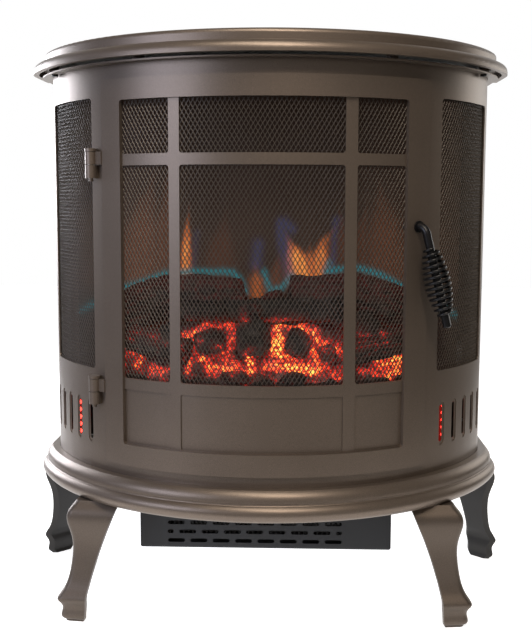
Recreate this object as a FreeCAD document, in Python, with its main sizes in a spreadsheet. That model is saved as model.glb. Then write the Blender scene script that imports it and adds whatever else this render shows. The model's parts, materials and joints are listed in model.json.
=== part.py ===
import FreeCAD, Part
import math
import os
import re
from types import SimpleNamespace

import Sketcher
from FreeCAD import Placement, Rotation, Vector

# A free-standing electric stove with a bowed front, in millimetres.
# X runs to the right, Y to the back and Z up; the origin is on the floor, under the middle of the object.
# Azimuth is measured in plan about the bow's centre: 0 at the middle of the front, positive to the right.
# Offset is measured outwards from the cabinet's outer skin.

SIZES = [
    ("half_width", 239.5, "half the cabinet's width over its flat sides"),
    ("front_radius", 251.7, "radius of the bowed front"),
    ("corner_radius", 80, "radius that blends the bow into each side"),
    ("arc_centre", 125.5, "Y of the bow's centre"),
    ("back_plane", 114.2, "Y of the cabinet's back"),
    ("skin", 1.5, "sheet thickness of the cabinet"),
    ("zero_offset", 0, "the cabinet's own outline"),
    ("shell_low", 151.7, "bottom of the cabinet, on the base"),
    ("shell_high", 568, "top of the cabinet's flange"),
    ("flange_width", 11, "top flange, outwards"),
    ("lid_low", 570, "lower edge of the lid"),
    ("lid_step", 581.5, "top of the lid's moulding"),
    ("lid_high", 592.8, "top of the stove"),
    ("lid_overhang", 21, "offset of the lid's edge"),
    ("lid_upper", 8.6, "offset of the lid's upper tier"),
    ("lid_inner", 15, "offset of the hollow under the lid"),
    ("lid_round", 9, "edge rounding of the lid's moulding"),
    ("lid_top_round", 4.5, "edge rounding of the upper tier"),
    ("base_low", 126, "underside of the base"),
    ("base_pan", 148.7, "underside of the base's pan"),
    ("base_ledge", 8.5, "offset of the ledge round the cabinet's foot"),
    ("base_nose", 20, "offset of the base's widest line"),
    ("base_rim", 156, "top of the rim round the cabinet's foot"),
    ("base_lip", 0.4, "gap between the rim and the cabinet"),
    ("base_back", 130.2, "Y of the base's back edge"),
    ("opening_half", 38.3, "half angle of the door opening"),
    ("opening_low", 176, "bottom of the door opening"),
    ("opening_high", 545, "top of the door opening"),
    ("light_start", 44.4, "azimuth where a side light begins"),
    ("light_end", 68, "azimuth where a side light ends"),
    ("light_low", 261, "bottom of the side lights"),
    ("light_high", 536, "top of the side lights"),
    ("door_half", 39.5, "half angle of the door"),
    ("door_low", 167.5, "bottom of the door"),
    ("door_high", 552, "top of the door"),
    ("frame_inner", 1.4, "offset of the door frame's back"),
    ("frame_outer", 4.2, "offset of the door frame's face"),
    ("stile_left", 33.75, "azimuth of the left stile's inner edge, to the left"),
    ("stile_right", 33.05, "azimuth of the right stile's inner edge"),
    ("rail_low", 189.5, "top of the door's bottom rail"),
    ("rail_high", 531.5, "underside of the door's top rail"),
    ("grille_inner", 0.1, "offset of the grille's back"),
    ("grille_outer", 1.3, "offset of the grille's face"),
    ("grille_left", 35, "azimuth of the grille's left edge, to the left"),
    ("grille_right", 34.2, "azimuth of the grille's right edge"),
    ("bar_width", 11.2, "width of the grille's bars"),
    ("crossbar_low", 468.3, "underside of the crossbar"),
    ("window_low", 257, "bottom of the mesh windows"),
    ("field_high", 245.5, "top of the recessed fields"),
    ("hinge_azimuth", -42.8, "azimuth of the hinge axis"),
    ("hinge_offset", 6.4, "offset of the hinge axis"),
    ("barrel_radius", 5.8, "hinge knuckles"),
    ("pin_radius", 2.4, "hinge pins"),
    ("handle_azimuth", 36.3, "azimuth of the handle's shaft"),
    ("handle_height", 409.5, "height of the handle's shaft"),
    ("handle_reach", 14, "offset of the handle's arm at the shaft"),
    ("handle_flare", 14, "how much further out the arm's end stands"),
    ("handle_drop", 101, "from the shaft down to the rod's end"),
    ("handle_slant", 11, "how far the arm leans to the right, in degrees"),
    ("rod_radius", 4.2, "handle rod"),
    ("grip_radius", 13.3, "grip at its fattest"),
    ("housing_half", 134.4, "half the heater box's width"),
    ("housing_front", -35.8, "Y of the heater box's face"),
    ("housing_back", 94.2, "Y of the heater box's back"),
    ("housing_low", 63.4, "underside of the heater box"),
    ("floor_level", 236, "underside of the firebox floor"),
    ("roof_level", 548, "underside of the firebox roof"),
    ("lid_hollow_back", 108, "Y where the hollow under the lid ends"),
    ("base_inside", 4, "inner offset of the base's moulding"),
    ("tray_offset", -3, "offset of the firebox floor and roof"),
    ("tray_back", 108.5, "Y of the back of the firebox floor and roof"),
    ("screen_front", 3.7, "Y of the flame screen's face"),
]

doc = FreeCAD.newDocument("stove")
pieces = {}


def make_sheet():
    """Fill the sheet of driving dimensions and give each one its name."""
    sheet = doc.addObject("Spreadsheet::Sheet", "Sizes")
    for row, (alias, value, meaning) in enumerate(SIZES, 1):
        sheet.set(f"A{row}", meaning)
        sheet.set(f"B{row}", str(value))
        sheet.setAlias(f"B{row}", alias)
    doc.recompute()
    return SimpleNamespace(**{alias: float(sheet.get(alias)) for alias, _, _ in SIZES})


S = make_sheet()
ALIASES = {alias for alias, _, _ in SIZES}


def bound(text):
    """Turn the names in a formula into references to the sheet's cells."""
    def cell(word):
        return "Sizes." + word[0] if word[0] in ALIASES else word[0]

    return re.sub(r"[A-Za-z_]+", cell, str(text))


def piece(name, item):
    """Name a finished sub-part; the name is also its file's name."""
    item.Label = name
    pieces[name] = item
    return item


def outward(azimuth):
    """Unit vector that points away from the bow's centre."""
    angle = math.radians(azimuth)
    return Vector(math.sin(angle), -math.cos(angle), 0)


def on_front(azimuth, offset, height):
    """Point at an azimuth and an offset from the bowed front."""
    return Vector(0, S.arc_centre, height) + outward(azimuth) * (S.front_radius + offset)


# ---- primitives whose sizes come from the sheet ----

def box(name, lengths, corner):
    item = doc.addObject("Part::Box", name)
    for prop, text in zip(("Length", "Width", "Height"), lengths):
        item.setExpression(prop, bound(text))
    item.Placement = Placement(Vector(*corner), Rotation())
    return item


def cylinder(name, radius, height, at, axis=Vector(0, 0, 1)):
    item = doc.addObject("Part::Cylinder", name)
    item.setExpression("Radius", bound(radius))
    item.setExpression("Height", bound(height))
    item.Placement = Placement(at, Rotation(Vector(0, 0, 1), axis))
    return item


def cut(name, base, *tools):
    item = doc.addObject("Part::Cut", name)
    item.Base = base
    item.Tool = tools[0] if len(tools) == 1 else fuse(name + "_tools", *tools)
    return item


def fuse(name, *shapes):
    item = doc.addObject("Part::MultiFuse", name)
    item.Shapes = list(shapes)
    return item


def feature(name, shape):
    item = doc.addObject("Part::Feature", name)
    item.Shape = shape
    return item


def tube(name, outer, inner, height, at, axis=Vector(0, 0, 1)):
    """Round part with a bore all the way through."""
    return cut(name, cylinder(name + "_outside", outer, height, at, axis),
               cylinder(name + "_bore", inner, height, at, axis))


def sector(name, inner, outer, low, high, start, end):
    """Curved plate between two azimuths, concentric with the bow."""
    shells = []
    for part, radius in (("outside", outer), ("inside", inner)):
        item = doc.addObject("Part::Cylinder", f"{name}_{part}")
        item.setExpression("Radius", bound(f"front_radius + {radius}"))
        item.setExpression("Height", bound(f"({high}) - ({low})"))
        item.setExpression("Angle", bound(f"({end}) - ({start})"))
        item.setExpression("Placement.Base.y", bound("arc_centre"))
        item.setExpression("Placement.Base.z", bound(low))
        item.setExpression("Placement.Rotation.Angle", bound(f"({start}) - 90"))
        shells.append(item)
    return cut(name, *shells)


def rounded(name, item, radius):
    """Round the corners of a sector, along its straight level edges."""
    doc.recompute()
    corners = [index for index, edge in enumerate(item.Shape.Edges, 1)
               if edge.Curve.TypeId == "Part::GeomLine" and abs(edge.tangentAt(0).z) < 0.01]
    result = doc.addObject("Part::Fillet", name)
    result.Base = item
    result.Edges = [(index, radius, radius) for index in corners]
    return result


# ---- sketches of the cabinet's plan, drawn about the bow's centre ----

def origin_plane(body, role):
    return next(item for item in body.Origin.OriginFeatures if item.Role == role)


def new_body(name):
    """Body whose own origin is the bow's centre, on the floor."""
    body = doc.addObject("PartDesign::Body", name)
    body.setExpression("Placement.Base.y", bound("arc_centre"))
    return body


def new_sketch(body, name, role, shift):
    sketch = body.newObject("Sketcher::SketchObject", name)
    sketch.AttachmentSupport = [(origin_plane(body, role), "")]
    sketch.MapMode = "FlatFace"
    sketch.setExpression("AttachmentOffset.Base.z", bound(shift))
    return sketch


def drive(sketch, name, formula, *constraint):
    """Add a dimension that the sheet drives."""
    index = sketch.addConstraint(Sketcher.Constraint(*constraint))
    sketch.renameConstraint(index, name)
    sketch.setExpression("Constraints." + name, bound(formula))


def plan_sketch(body, name, offset, back, level, closed=True):
    """Bowed front, two blends and two straight sides; closed by the straight back."""
    sketch = new_sketch(body, name, "XY_Plane", level)
    extra = getattr(S, offset)
    rear = getattr(S, back) - S.arc_centre
    middle = S.half_width - S.corner_radius
    blend = math.acos(middle / (S.front_radius - S.corner_radius))
    rise = -(S.front_radius - S.corner_radius) * math.sin(blend)
    side = S.half_width + extra
    small, large = S.corner_radius + extra, S.front_radius + extra
    up = Vector(0, 0, 1)
    sketch.addGeometry(Part.LineSegment(Vector(-side, rear, 0), Vector(-side, rise, 0)))
    sketch.addGeometry(Part.ArcOfCircle(Part.Circle(Vector(-middle, rise, 0), up, small),
                                        math.pi, math.pi + blend))
    sketch.addGeometry(Part.ArcOfCircle(Part.Circle(Vector(0, 0, 0), up, large),
                                        math.pi + blend, 2 * math.pi - blend))
    sketch.addGeometry(Part.ArcOfCircle(Part.Circle(Vector(middle, rise, 0), up, small),
                                        2 * math.pi - blend, 2 * math.pi))
    sketch.addGeometry(Part.LineSegment(Vector(side, rise, 0), Vector(side, rear, 0)))
    for first in range(4):
        sketch.addConstraint(Sketcher.Constraint("Tangent", first, 2, first + 1, 1))
    sketch.addConstraint(Sketcher.Constraint("Vertical", 0))
    sketch.addConstraint(Sketcher.Constraint("Vertical", 4))
    sketch.addConstraint(Sketcher.Constraint("Coincident", 2, 3, -1, 1))
    drive(sketch, "bow", f"front_radius + {offset}", "Radius", 2, large)
    drive(sketch, "blend_left", f"corner_radius + {offset}", "Radius", 1, small)
    drive(sketch, "blend_right", f"corner_radius + {offset}", "Radius", 3, small)
    drive(sketch, "side_right", f"half_width + {offset}", "DistanceX", -1, 1, 4, 2, side)
    drive(sketch, "side_left", f"half_width + {offset}", "DistanceX", 0, 1, -1, 1, side)
    drive(sketch, "rear_right", f"{back} - arc_centre", "DistanceY", -1, 1, 4, 2, rear)
    drive(sketch, "rear_left", f"{back} - arc_centre", "DistanceY", -1, 1, 0, 1, rear)
    if closed:
        sketch.addGeometry(Part.LineSegment(Vector(side, rear, 0), Vector(-side, rear, 0)))
        sketch.addConstraint(Sketcher.Constraint("Coincident", 4, 2, 5, 1))
        sketch.addConstraint(Sketcher.Constraint("Coincident", 5, 2, 0, 1))
    return sketch


def pad(body, sketch, name, length):
    item = body.newObject("PartDesign::Pad", name)
    item.Profile = sketch
    item.setExpression("Length", bound(length))
    doc.recompute()
    return item


def round_edges(body, base, name, level, radius):
    """Round the edges at one height, apart from the one along the back."""
    chosen = []
    for index, edge in enumerate(base.Shape.Edges, 1):
        ends = [vertex.Point for vertex in edge.Vertexes]
        flat = all(abs(end.z - level) < 0.01 for end in ends)
        along_back = edge.Curve.TypeId == "Part::GeomLine" and abs(ends[0].y - ends[-1].y) < 0.01
        if flat and not along_back:
            chosen.append(f"Edge{index}")
    item = body.newObject("PartDesign::Fillet", name)
    item.Base = (base, chosen)
    item.Radius = radius
    doc.recompute()
    return item


def sweep(body, path, name, outline, back):
    """Carry a moulding's section round the cabinet; outline holds (offset, height) points.

    A point given as a pair of pairs is the middle and the end of an arc.
    """
    section = new_sketch(body, name + "_section", "XZ_Plane", f"arc_centre - {back}")
    spots = [Vector(-S.half_width - u, v, 0) for u, v in (p if not isinstance(p[0], tuple) else p[1]
                                                           for p in outline)]
    for number, item in enumerate(outline):
        start, end = spots[number - 1], spots[number]
        if isinstance(item[0], tuple):
            through = Vector(-S.half_width - item[0][0], item[0][1], 0)
            section.addGeometry(Part.Arc(start, through, end))
        else:
            section.addGeometry(Part.LineSegment(start, end))
    item = body.newObject("PartDesign::AdditivePipe", name)
    item.Profile = section
    item.Spine = (path, [f"Edge{number}" for number in range(1, 6)])
    doc.recompute()
    return item


# ---- shapes that repeat ----

def pill(width, height, depth):
    """Upright slot with round ends, centred, cutting from Y = 0 to Y = depth."""
    radius, straight = width / 2, (height - width) / 2
    points = [Vector(-radius, 0, -straight), Vector(-radius, 0, straight), Vector(0, 0, straight + radius),
              Vector(radius, 0, straight), Vector(radius, 0, -straight), Vector(0, 0, -straight - radius)]
    outline = Part.Wire([Part.LineSegment(points[0], points[1]).toShape(),
                         Part.Arc(points[1], points[2], points[3]).toShape(),
                         Part.LineSegment(points[3], points[4]).toShape(),
                         Part.Arc(points[4], points[5], points[0]).toShape()])
    return Part.Face(outline).extrude(Vector(0, depth, 0))


def placed(shape, at, turn=0, axis=Vector(0, 0, 1)):
    """Copy of a shape, turned about its own origin and then moved."""
    copy = shape.copy()
    copy.Placement = Placement(at, Rotation(axis, turn)).multiply(copy.Placement)
    return copy


def screw(head_radius, head_height, shank_radius, shank_length):
    """Pan-head screw: head above Z = 0, shank below it."""
    head = Part.makeCylinder(head_radius, head_height)
    head = head.makeFillet(head_height * 0.4, [edge for edge in head.Edges
                                               if edge.BoundBox.ZMin > head_height - 0.01])
    slot = Part.makeBox(head_radius * 1.3, 0.8, 0.8, Vector(-head_radius * 0.65, -0.4, head_height - 0.7))
    shank = Part.makeCylinder(shank_radius, shank_length, Vector(0, 0, -shank_length))
    return head.cut(slot).fuse(shank).removeSplitter()


def rods(radius, length, places, axis):
    """Compound of round bars, for cutting rows of holes."""
    return Part.makeCompound([Part.makeCylinder(radius, length, at, axis) for at in places])


# ---- lid ----

# Each lid screw: azimuth, and offset from the cabinet's skin
LID_FIXINGS = [(-62, 4.5), (62, 4.5), (-30, -6.5), (30, -6.5)]
LUG_DEPTH, LUG_HALF_ANGLE = 13, 2.6


def lid_places(height):
    return [on_front(azimuth, offset, height) for azimuth, offset in LID_FIXINGS]


def make_lid():
    body = new_body("top_plate_body")
    lower = pad(body, plan_sketch(body, "lid_plan", "lid_overhang", "back_plane", "lid_low"),
                "lid_moulding", "lid_step - lid_low")
    round_edges(body, lower, "moulding_round", S.lid_step, S.lid_round)
    upper = pad(body, plan_sketch(body, "tier_plan", "lid_upper", "back_plane", "lid_step"),
                "lid_tier", "lid_high - lid_step")
    round_edges(body, upper, "tier_round", S.lid_high, S.lid_top_round)
    hollow = doc.addObject("PartDesign::Body", "lid_hollow")
    hollow.setExpression("Placement.Base.y", bound("arc_centre"))
    pad(hollow, plan_sketch(hollow, "hollow_plan", "lid_inner", "lid_hollow_back", "lid_low - 1"),
        "hollow_pad", "9")
    bosses = [cylinder(f"lid_boss_{n}", "6", "11", at) for n, at in enumerate(lid_places(S.shell_high))]
    shell = cut("lid_shell", body, hollow)
    holes = feature("lid_holes", rods(1.7, 9, lid_places(S.shell_high), Vector(0, 0, 1)))
    piece("top_plate", cut("top_plate", fuse("lid_solid", shell, *bosses), holes))
    fixing = screw(3.4, 2.2, 1.6, 9)
    level = S.shell_high - S.skin
    piece("lid_screws", feature("lid_screws", Part.makeCompound(
        [placed(fixing, at, 180, Vector(1, 0, 0)) for at in lid_places(level)])))


# ---- cabinet ----

VENT_AZIMUTHS = (46.6, 52, 57.4, 62.8, 68.2)


def vent_tools():
    """Shallow pressed dish and narrow slot of each vent, five to a side."""
    shapes = []
    for azimuth in VENT_AZIMUTHS:
        for side in (-1, 1):
            turn = side * azimuth
            middle = 205.2
            dish = placed(pill(10.5, 46, 4), on_front(turn, 3.2, middle), turn)
            slot = placed(pill(5.2, 39, 12), on_front(turn, 6, middle), turn)
            shapes += [dish, slot]
    return Part.makeCompound(shapes)


def make_cabinet():
    body = new_body("body_shell_wrap")
    path = plan_sketch(body, "wrap_path", "zero_offset", "back_plane", "shell_low", closed=False)
    low, high, skin, wide = S.shell_low, S.shell_high, S.skin, S.flange_width
    sweep(body, path, "wrap", [(-skin, low), (0, low), (0, high - skin), (wide, high - skin), (wide, high),
                               (-skin, high)], "back_plane")
    returns = []
    for side, start in (("left", -S.half_width + S.skin), ("right", S.half_width - S.skin - 14)):
        returns.append(box(f"return_{side}", ("14", "skin", "shell_high - shell_low"),
                           (start, S.back_plane - 2 * S.skin - 0.1, S.shell_low)))
    opening = rounded("door_opening", sector("door_opening_block", "-6", "6", "opening_low", "opening_high",
                                             "-opening_half", "opening_half"), 4)
    lights = [rounded("light_right", sector("light_right_block", "-6", "6", "light_low", "light_high",
                                            "light_start", "light_end"), 4),
              rounded("light_left", sector("light_left_block", "-6", "6", "light_low", "light_high",
                                           "-light_end", "-light_start"), 4)]
    vents = feature("vent_tools", vent_tools())
    holes = feature("flange_holes", rods(2, 6, lid_places(S.shell_high - 4), Vector(0, 0, 1)))
    rear = feature("return_holes", rods(1.5, 8, panel_fixings(S.back_plane - 6), Vector(0, 1, 0)))
    lugs = [sector(f"lid_lug_{n}", str(-LUG_DEPTH), "0", "shell_high - skin", "shell_high",
                   str(azimuth - LUG_HALF_ANGLE), str(azimuth + LUG_HALF_ANGLE))
            for n, (azimuth, offset) in enumerate(LID_FIXINGS) if offset < 0]
    solid = fuse("body_solid", body, *returns, *lugs)
    piece("body_shell", cut("body_shell", solid, opening, *lights, vents, holes, rear))
    for side, start, end in (("left", "-(light_end + 1.2)", "-(light_start - 1.4)"),
                             ("right", "light_start - 1.4", "light_end + 1.2")):
        piece(f"side_screen_{side}", sector(f"side_screen_{side}", "-3.2", "-2", "light_low - 6",
                                            "light_high + 6", start, end))


def panel_fixings(depth):
    """Screw places down the two edges of the back panel."""
    return [Vector(side * (S.half_width - 9), depth, height) for side in (-1, 1)
            for height in (175, 300, 425, 545)]


def make_back():
    thick = S.skin
    width = 2 * (S.half_width - thick) - 1
    plate = box("back_sheet", ("2 * (half_width - skin) - 1", "skin - 0.1", "shell_high - shell_low - 4"),
                (-width / 2, S.back_plane - thick, S.shell_low + 0.5))
    slots = [placed(pill(5, 40, 6), Vector(x, S.back_plane - 4, z)) for z in (250, 310)
             for x in range(-150, 151, 20)]
    slots += [placed(pill(5, 34, 6), Vector(x, S.back_plane - 4, 190)) for x in range(-150, 91, 20)]
    window = Part.makeBox(86, 8, 50, Vector(97, S.back_plane - 5, 455))
    gland = Part.makeCylinder(8.2, 8, Vector(180, S.back_plane - 5, 205), Vector(0, 1, 0))
    holes = rods(1.8, 8, panel_fixings(S.back_plane - 5), Vector(0, 1, 0))
    piece("back_panel", cut("back_panel", plate, feature("back_cuts", Part.makeCompound(
        slots + [window, gland] + holes.Solids))))
    fixing = screw(3.4, 2, 1.4, 6)
    piece("back_panel_screws", feature("back_panel_screws", Part.makeCompound(
        [placed(fixing, at, -90, Vector(1, 0, 0)) for at in panel_fixings(S.back_plane)])))


# ---- base and legs ----

# Outline of one face of a leg: height, how far the corner stands in from the foot's corner, and how far
# away the face's other edge is.
LEG_SECTIONS = [(0, 2.2, 22.5), (3, 0.2, 24.2), (13, -0.4, 25), (20, -2.4, 26), (24, -4.4, 26.6),
                (29, -2.6, 26.8), (35, 1.2, 27.6), (44, 4.6, 29.4), (55, 6.8, 32.4), (66, 8.2, 35.6),
                (77, 8.8, 39.4), (88, 8, 43.6), (98, 5.8, 48), (108, 4.2, 52.4), (117, 6.2, 56),
                (126, 12.5, 58)]
LEG_EDGE = 7
LEG_CORNER = 6
FLANGE_HOLE = 48


def leg_section(height, near, far):
    """Two faces that meet in a rounded corner, closed by a flat slanting back."""
    a = near + LEG_CORNER
    m = near + LEG_CORNER * (1 - math.sqrt(0.5))
    b = near + LEG_EDGE
    p = [Vector(a, near, height), Vector(far, near, height), Vector(far, b, height),
         Vector(b, far, height), Vector(near, far, height), Vector(near, a, height)]
    edges = [Part.LineSegment(p[n], p[n + 1]).toShape() for n in range(5)]
    edges.append(Part.Arc(p[5], Vector(m, m, height), p[0]).toShape())
    return Part.Wire(edges)


def leg_shape():
    """One leg with its foot's corner at the local origin and its faces along +X and +Y."""
    leg = Part.makeLoft([leg_section(*row) for row in LEG_SECTIONS], True, False)
    ear = Part.makeBox(44, 44, 6, Vector(20, 20, S.base_low - 6))
    ear = ear.makeFillet(10, [edge for edge in ear.Edges if edge.BoundBox.ZLength > 5
                              and edge.BoundBox.XMin > 60 and edge.BoundBox.YMin > 60])
    hole = Part.makeCylinder(2.6, 20, Vector(FLANGE_HOLE, FLANGE_HOLE, S.base_low - 12))
    return leg.fuse(ear).cut(hole).removeSplitter()


LEG_FRONT = (209.5, -84.8, 7)
LEG_REAR = (271.5, 142.8, 0)


def leg_placements():
    """Name and transform of each leg; a right leg is the left one mirrored."""
    for row, (x, y, turn), flip in (("front", LEG_FRONT, 1), ("rear", LEG_REAR, -1)):
        matrix = Placement(Vector(-x, y, 0), Rotation(Vector(0, 0, 1), -turn)).toMatrix()
        mirror = FreeCAD.Matrix()
        mirror.scale(1, flip, 1)
        left = matrix.multiply(mirror)
        across = FreeCAD.Matrix()
        across.scale(-1, 1, 1)
        yield f"leg_{row}_left", left
        yield f"leg_{row}_right", across.multiply(left)


def bolt_places(height):
    return [matrix.multVec(Vector(FLANGE_HOLE, FLANGE_HOLE, height)) for _, matrix in leg_placements()]


def make_legs():
    shape = leg_shape()
    for name, matrix in leg_placements():
        piece(name, feature(name, shape.transformed(matrix, copy=True)))
    bolt = screw(5, 3.5, 2.5, S.shell_low - S.base_low + 12)
    piece("leg_bolts", feature("leg_bolts", Part.makeCompound(
        [placed(bolt, at) for at in bolt_places(S.shell_low)])))


def make_base():
    body = new_body("base_plate_body")
    path = plan_sketch(body, "base_path", "zero_offset", "base_back", "base_low", closed=False)
    low, pan, rim, nose = S.base_low, S.shell_low - 1, S.base_rim, S.base_nose
    lower_bead = ((nose, low + 8), (nose - 4, low + 15.5))
    groove = ((nose - 5.6, low + 16.6), (nose - 5.4, low + 18.4))
    upper_bead = ((nose - 6.6, rim - 5.2), (S.base_ledge, rim))
    sweep(body, path, "base_moulding",
          [(4, low), (nose - 4.5, low), lower_bead, groove, upper_bead, (S.base_lip, rim),
           (S.base_lip, pan), (4, pan)], "base_back")
    pad(body, plan_sketch(body, "pan_plan", "base_inside", "base_back", "base_pan"), "pan",
        "shell_low - base_pan")
    rail = box("base_rail", ("2 * half_width + 8", "5", "base_pan - base_low"),
               (-S.half_width - 4, S.base_back - 5, S.base_low))
    bosses = [cylinder(f"base_boss_{n}", "9", "base_pan - base_low", at)
              for n, at in enumerate(bolt_places(S.base_low))]
    holes = feature("base_holes", rods(2.8, 40, bolt_places(S.base_low - 5), Vector(0, 0, 1)))
    intake = feature("heater_intake", Part.makeCompound(
        [placed(pill(6, 60, 10), Vector(x, 30, S.base_pan - 4), 90, Vector(1, 0, 0))
         for x in range(-90, 71, 16)]))
    piece("base_plate", cut("base_plate", fuse("base_solid", body, rail, *bosses), holes, intake))


# ---- door ----

BARS = ((-21.17, -18.6), (17.9, 20.7))


def windows(name, low, high, inner, outer, corner):
    """Three cuts between the stiles and the grille's uprights."""
    edges = ["-stile_left", *[str(edge) for bar in BARS for edge in bar], "stile_right"]
    return [rounded(f"{name}_{n}", sector(f"{name}_block_{n}", inner, outer, low, high, edges[2 * n],
                                          edges[2 * n + 1]), corner) for n in range(3)]


def make_door():
    frame = sector("frame_plate", "frame_inner", "frame_outer", "door_low", "door_high", "-door_half",
                   "door_half")
    hole = rounded("frame_window", sector("frame_window_block", "-1", "9", "rail_low", "rail_high",
                                          "-stile_left", "stile_right"), 3)
    shaft = cylinder("shaft_hole", "rod_radius + 0.08", "20",
                     on_front(S.handle_azimuth, 12, S.handle_height), outward(S.handle_azimuth) * -1)
    piece("door_frame", cut("door_frame", frame, hole, shaft))
    plate = sector("grille_plate", "grille_inner", "grille_outer", "rail_low - 6", "rail_high + 6",
                   "-grille_left", "grille_right")
    upper = windows("upper_window", "crossbar_low + bar_width", "rail_high + 3", "-3", "5", 3)
    lower = windows("lower_window", "window_low", "crossbar_low", "-3", "5", 3)
    fields = windows("field_cut", "rail_low + 1", "field_high", "-3", "5", 2)
    piece("door_grille", cut("door_grille", plate, *upper, *lower, *fields))
    piece("door_panel", sector("door_panel", "-1.4", "0", "rail_low - 6", "window_low - 3", "-grille_left",
                               "grille_right"))
    piece("door_mesh", sector("door_mesh", "-1.3", "-0.1", "window_low - 2.5", "rail_high + 6",
                              "-grille_left", "grille_right"))


HINGES = {"upper": 469.4, "lower": 239}
KNUCKLE = 12.8


def make_hinges():
    """Door knuckle above, cabinet knuckle below, and a headed pin through both."""
    for name, joint in HINGES.items():
        foot = on_front(S.hinge_azimuth, S.hinge_offset, joint + 0.3)
        knuckle = cylinder(f"strap_knuckle_{name}", "barrel_radius", KNUCKLE, foot)
        leaf = sector(f"strap_leaf_{name}", "frame_inner", "frame_outer + 1.2", str(joint + 0.3),
                      str(joint + 0.3 + KNUCKLE), "hinge_azimuth", "-door_half - 0.05")
        bore = cylinder(f"strap_bore_{name}", "pin_radius + 0.06", KNUCKLE, foot)
        piece(f"hinge_strap_{name}", cut(f"hinge_strap_{name}", fuse(f"strap_{name}", knuckle, leaf), bore))
        base = on_front(S.hinge_azimuth, S.hinge_offset, joint - KNUCKLE - 0.3)
        barrel = cylinder(f"barrel_body_{name}", "barrel_radius", KNUCKLE, base)
        block = box(f"barrel_foot_{name}", ("8", "9", str(KNUCKLE)), (0, 0, 0))
        block.Placement = Placement(on_front(S.hinge_azimuth, S.hinge_offset, base.z), Rotation(
            Vector(0, 0, 1), S.hinge_azimuth)).multiply(Placement(Vector(-4, 0, 0), Rotation()))
        drum = cylinder(f"barrel_seat_{name}", "front_radius + 0.05", "40",
                        Vector(0, S.arc_centre, base.z - 10))
        hole = cylinder(f"barrel_bore_{name}", "pin_radius + 0.02", KNUCKLE, base)
        piece(f"hinge_barrel_{name}", cut(f"hinge_barrel_{name}", fuse(f"barrel_{name}", barrel, block),
                                          fuse(f"barrel_cuts_{name}", drum, hole)))
        tip = on_front(S.hinge_azimuth, S.hinge_offset, joint - KNUCKLE - 3.5)
        cap = on_front(S.hinge_azimuth, S.hinge_offset, joint + KNUCKLE + 0.8)
        pin = cylinder(f"pin_shank_{name}", "pin_radius", 2 * KNUCKLE + 4.3, tip)
        head = cylinder(f"pin_head_{name}", "barrel_radius + 0.4", "2.8", cap)
        piece(f"hinge_pin_{name}", fuse(f"hinge_pin_{name}", pin, head))


# ---- handle and latch ----

def handle_frame():
    """Frame at the handle's shaft: -Y outwards, and -Z down the leaning arm."""
    at = on_front(S.handle_azimuth, 0, S.handle_height)
    facing = Rotation(Vector(0, 0, 1), S.handle_azimuth)
    lean = Rotation(Vector(0, 1, 0), -S.handle_slant)
    return Placement(at, facing.multiply(lean))


def arm_tilt():
    """How far the arm swings outwards from the vertical, in degrees."""
    return math.degrees(math.atan2(S.handle_flare, S.handle_drop))


def make_handle_rod():
    body = doc.addObject("PartDesign::Body", "handle_rod")
    path = body.newObject("Sketcher::SketchObject", "rod_path")
    path.AttachmentSupport = [(origin_plane(body, "YZ_Plane"), "")]
    path.MapMode = "FlatFace"
    bend, inner, tilt = 9, 13, math.radians(arm_tilt())
    tangent = bend * math.tan(math.pi / 4 - tilt / 2)
    elbow = Vector(-S.handle_reach, 0, 0)
    centre = elbow + Vector(tangent, -bend, 0)
    start = elbow + Vector(tangent, 0, 0)
    leave = elbow + Vector(-math.sin(tilt), -math.cos(tilt), 0) * tangent
    middle = centre + ((start - centre) + (leave - centre)).normalize() * bend
    end = Vector(-S.handle_reach - S.handle_flare, -S.handle_drop, 0)
    path.addGeometry(Part.LineSegment(Vector(inner, 0, 0), start))
    path.addGeometry(Part.Arc(start, middle, leave))
    path.addGeometry(Part.LineSegment(leave, end))
    path.addConstraint(Sketcher.Constraint("Horizontal", 0))
    path.addConstraint(Sketcher.Constraint("Tangent", 0, 2, 1, 1))
    path.addConstraint(Sketcher.Constraint("Tangent", 1, 2, 2, 1))
    drive(path, "reach", "handle_reach + handle_flare", "DistanceX", 2, 2, -1, 1, -end.x)
    drive(path, "drop", "handle_drop", "DistanceY", 2, 2, -1, 1, S.handle_drop)
    section = body.newObject("Sketcher::SketchObject", "rod_section")
    section.AttachmentSupport = [(origin_plane(body, "XZ_Plane"), "")]
    section.MapMode = "FlatFace"
    section.AttachmentOffset = Placement(Vector(0, 0, -inner), Rotation())
    section.addGeometry(Part.Circle(Vector(0, 0, 0), Vector(0, 0, 1), S.rod_radius))
    section.addConstraint(Sketcher.Constraint("Coincident", 0, 3, -1, 1))
    drive(section, "radius", "rod_radius", "Radius", 0, S.rod_radius)
    doc.recompute()
    pipe = body.newObject("PartDesign::AdditivePipe", "rod")
    pipe.Profile = section
    pipe.Spine = (path, ["Edge1", "Edge2", "Edge3"])
    doc.recompute()
    tip = body.newObject("PartDesign::Fillet", "rod_end")
    tip.Base = (pipe, [f"Edge{n}" for n, edge in enumerate(pipe.Shape.Edges, 1)
                       if edge.Curve.TypeId == "Part::GeomCircle"
                       and edge.Curve.Center.z < 1 - S.handle_drop])
    tip.Radius = 2
    body.Placement = handle_frame()
    piece("handle_rod", body)


GRIP_TOP, GRIP_END = -20, -92


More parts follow.
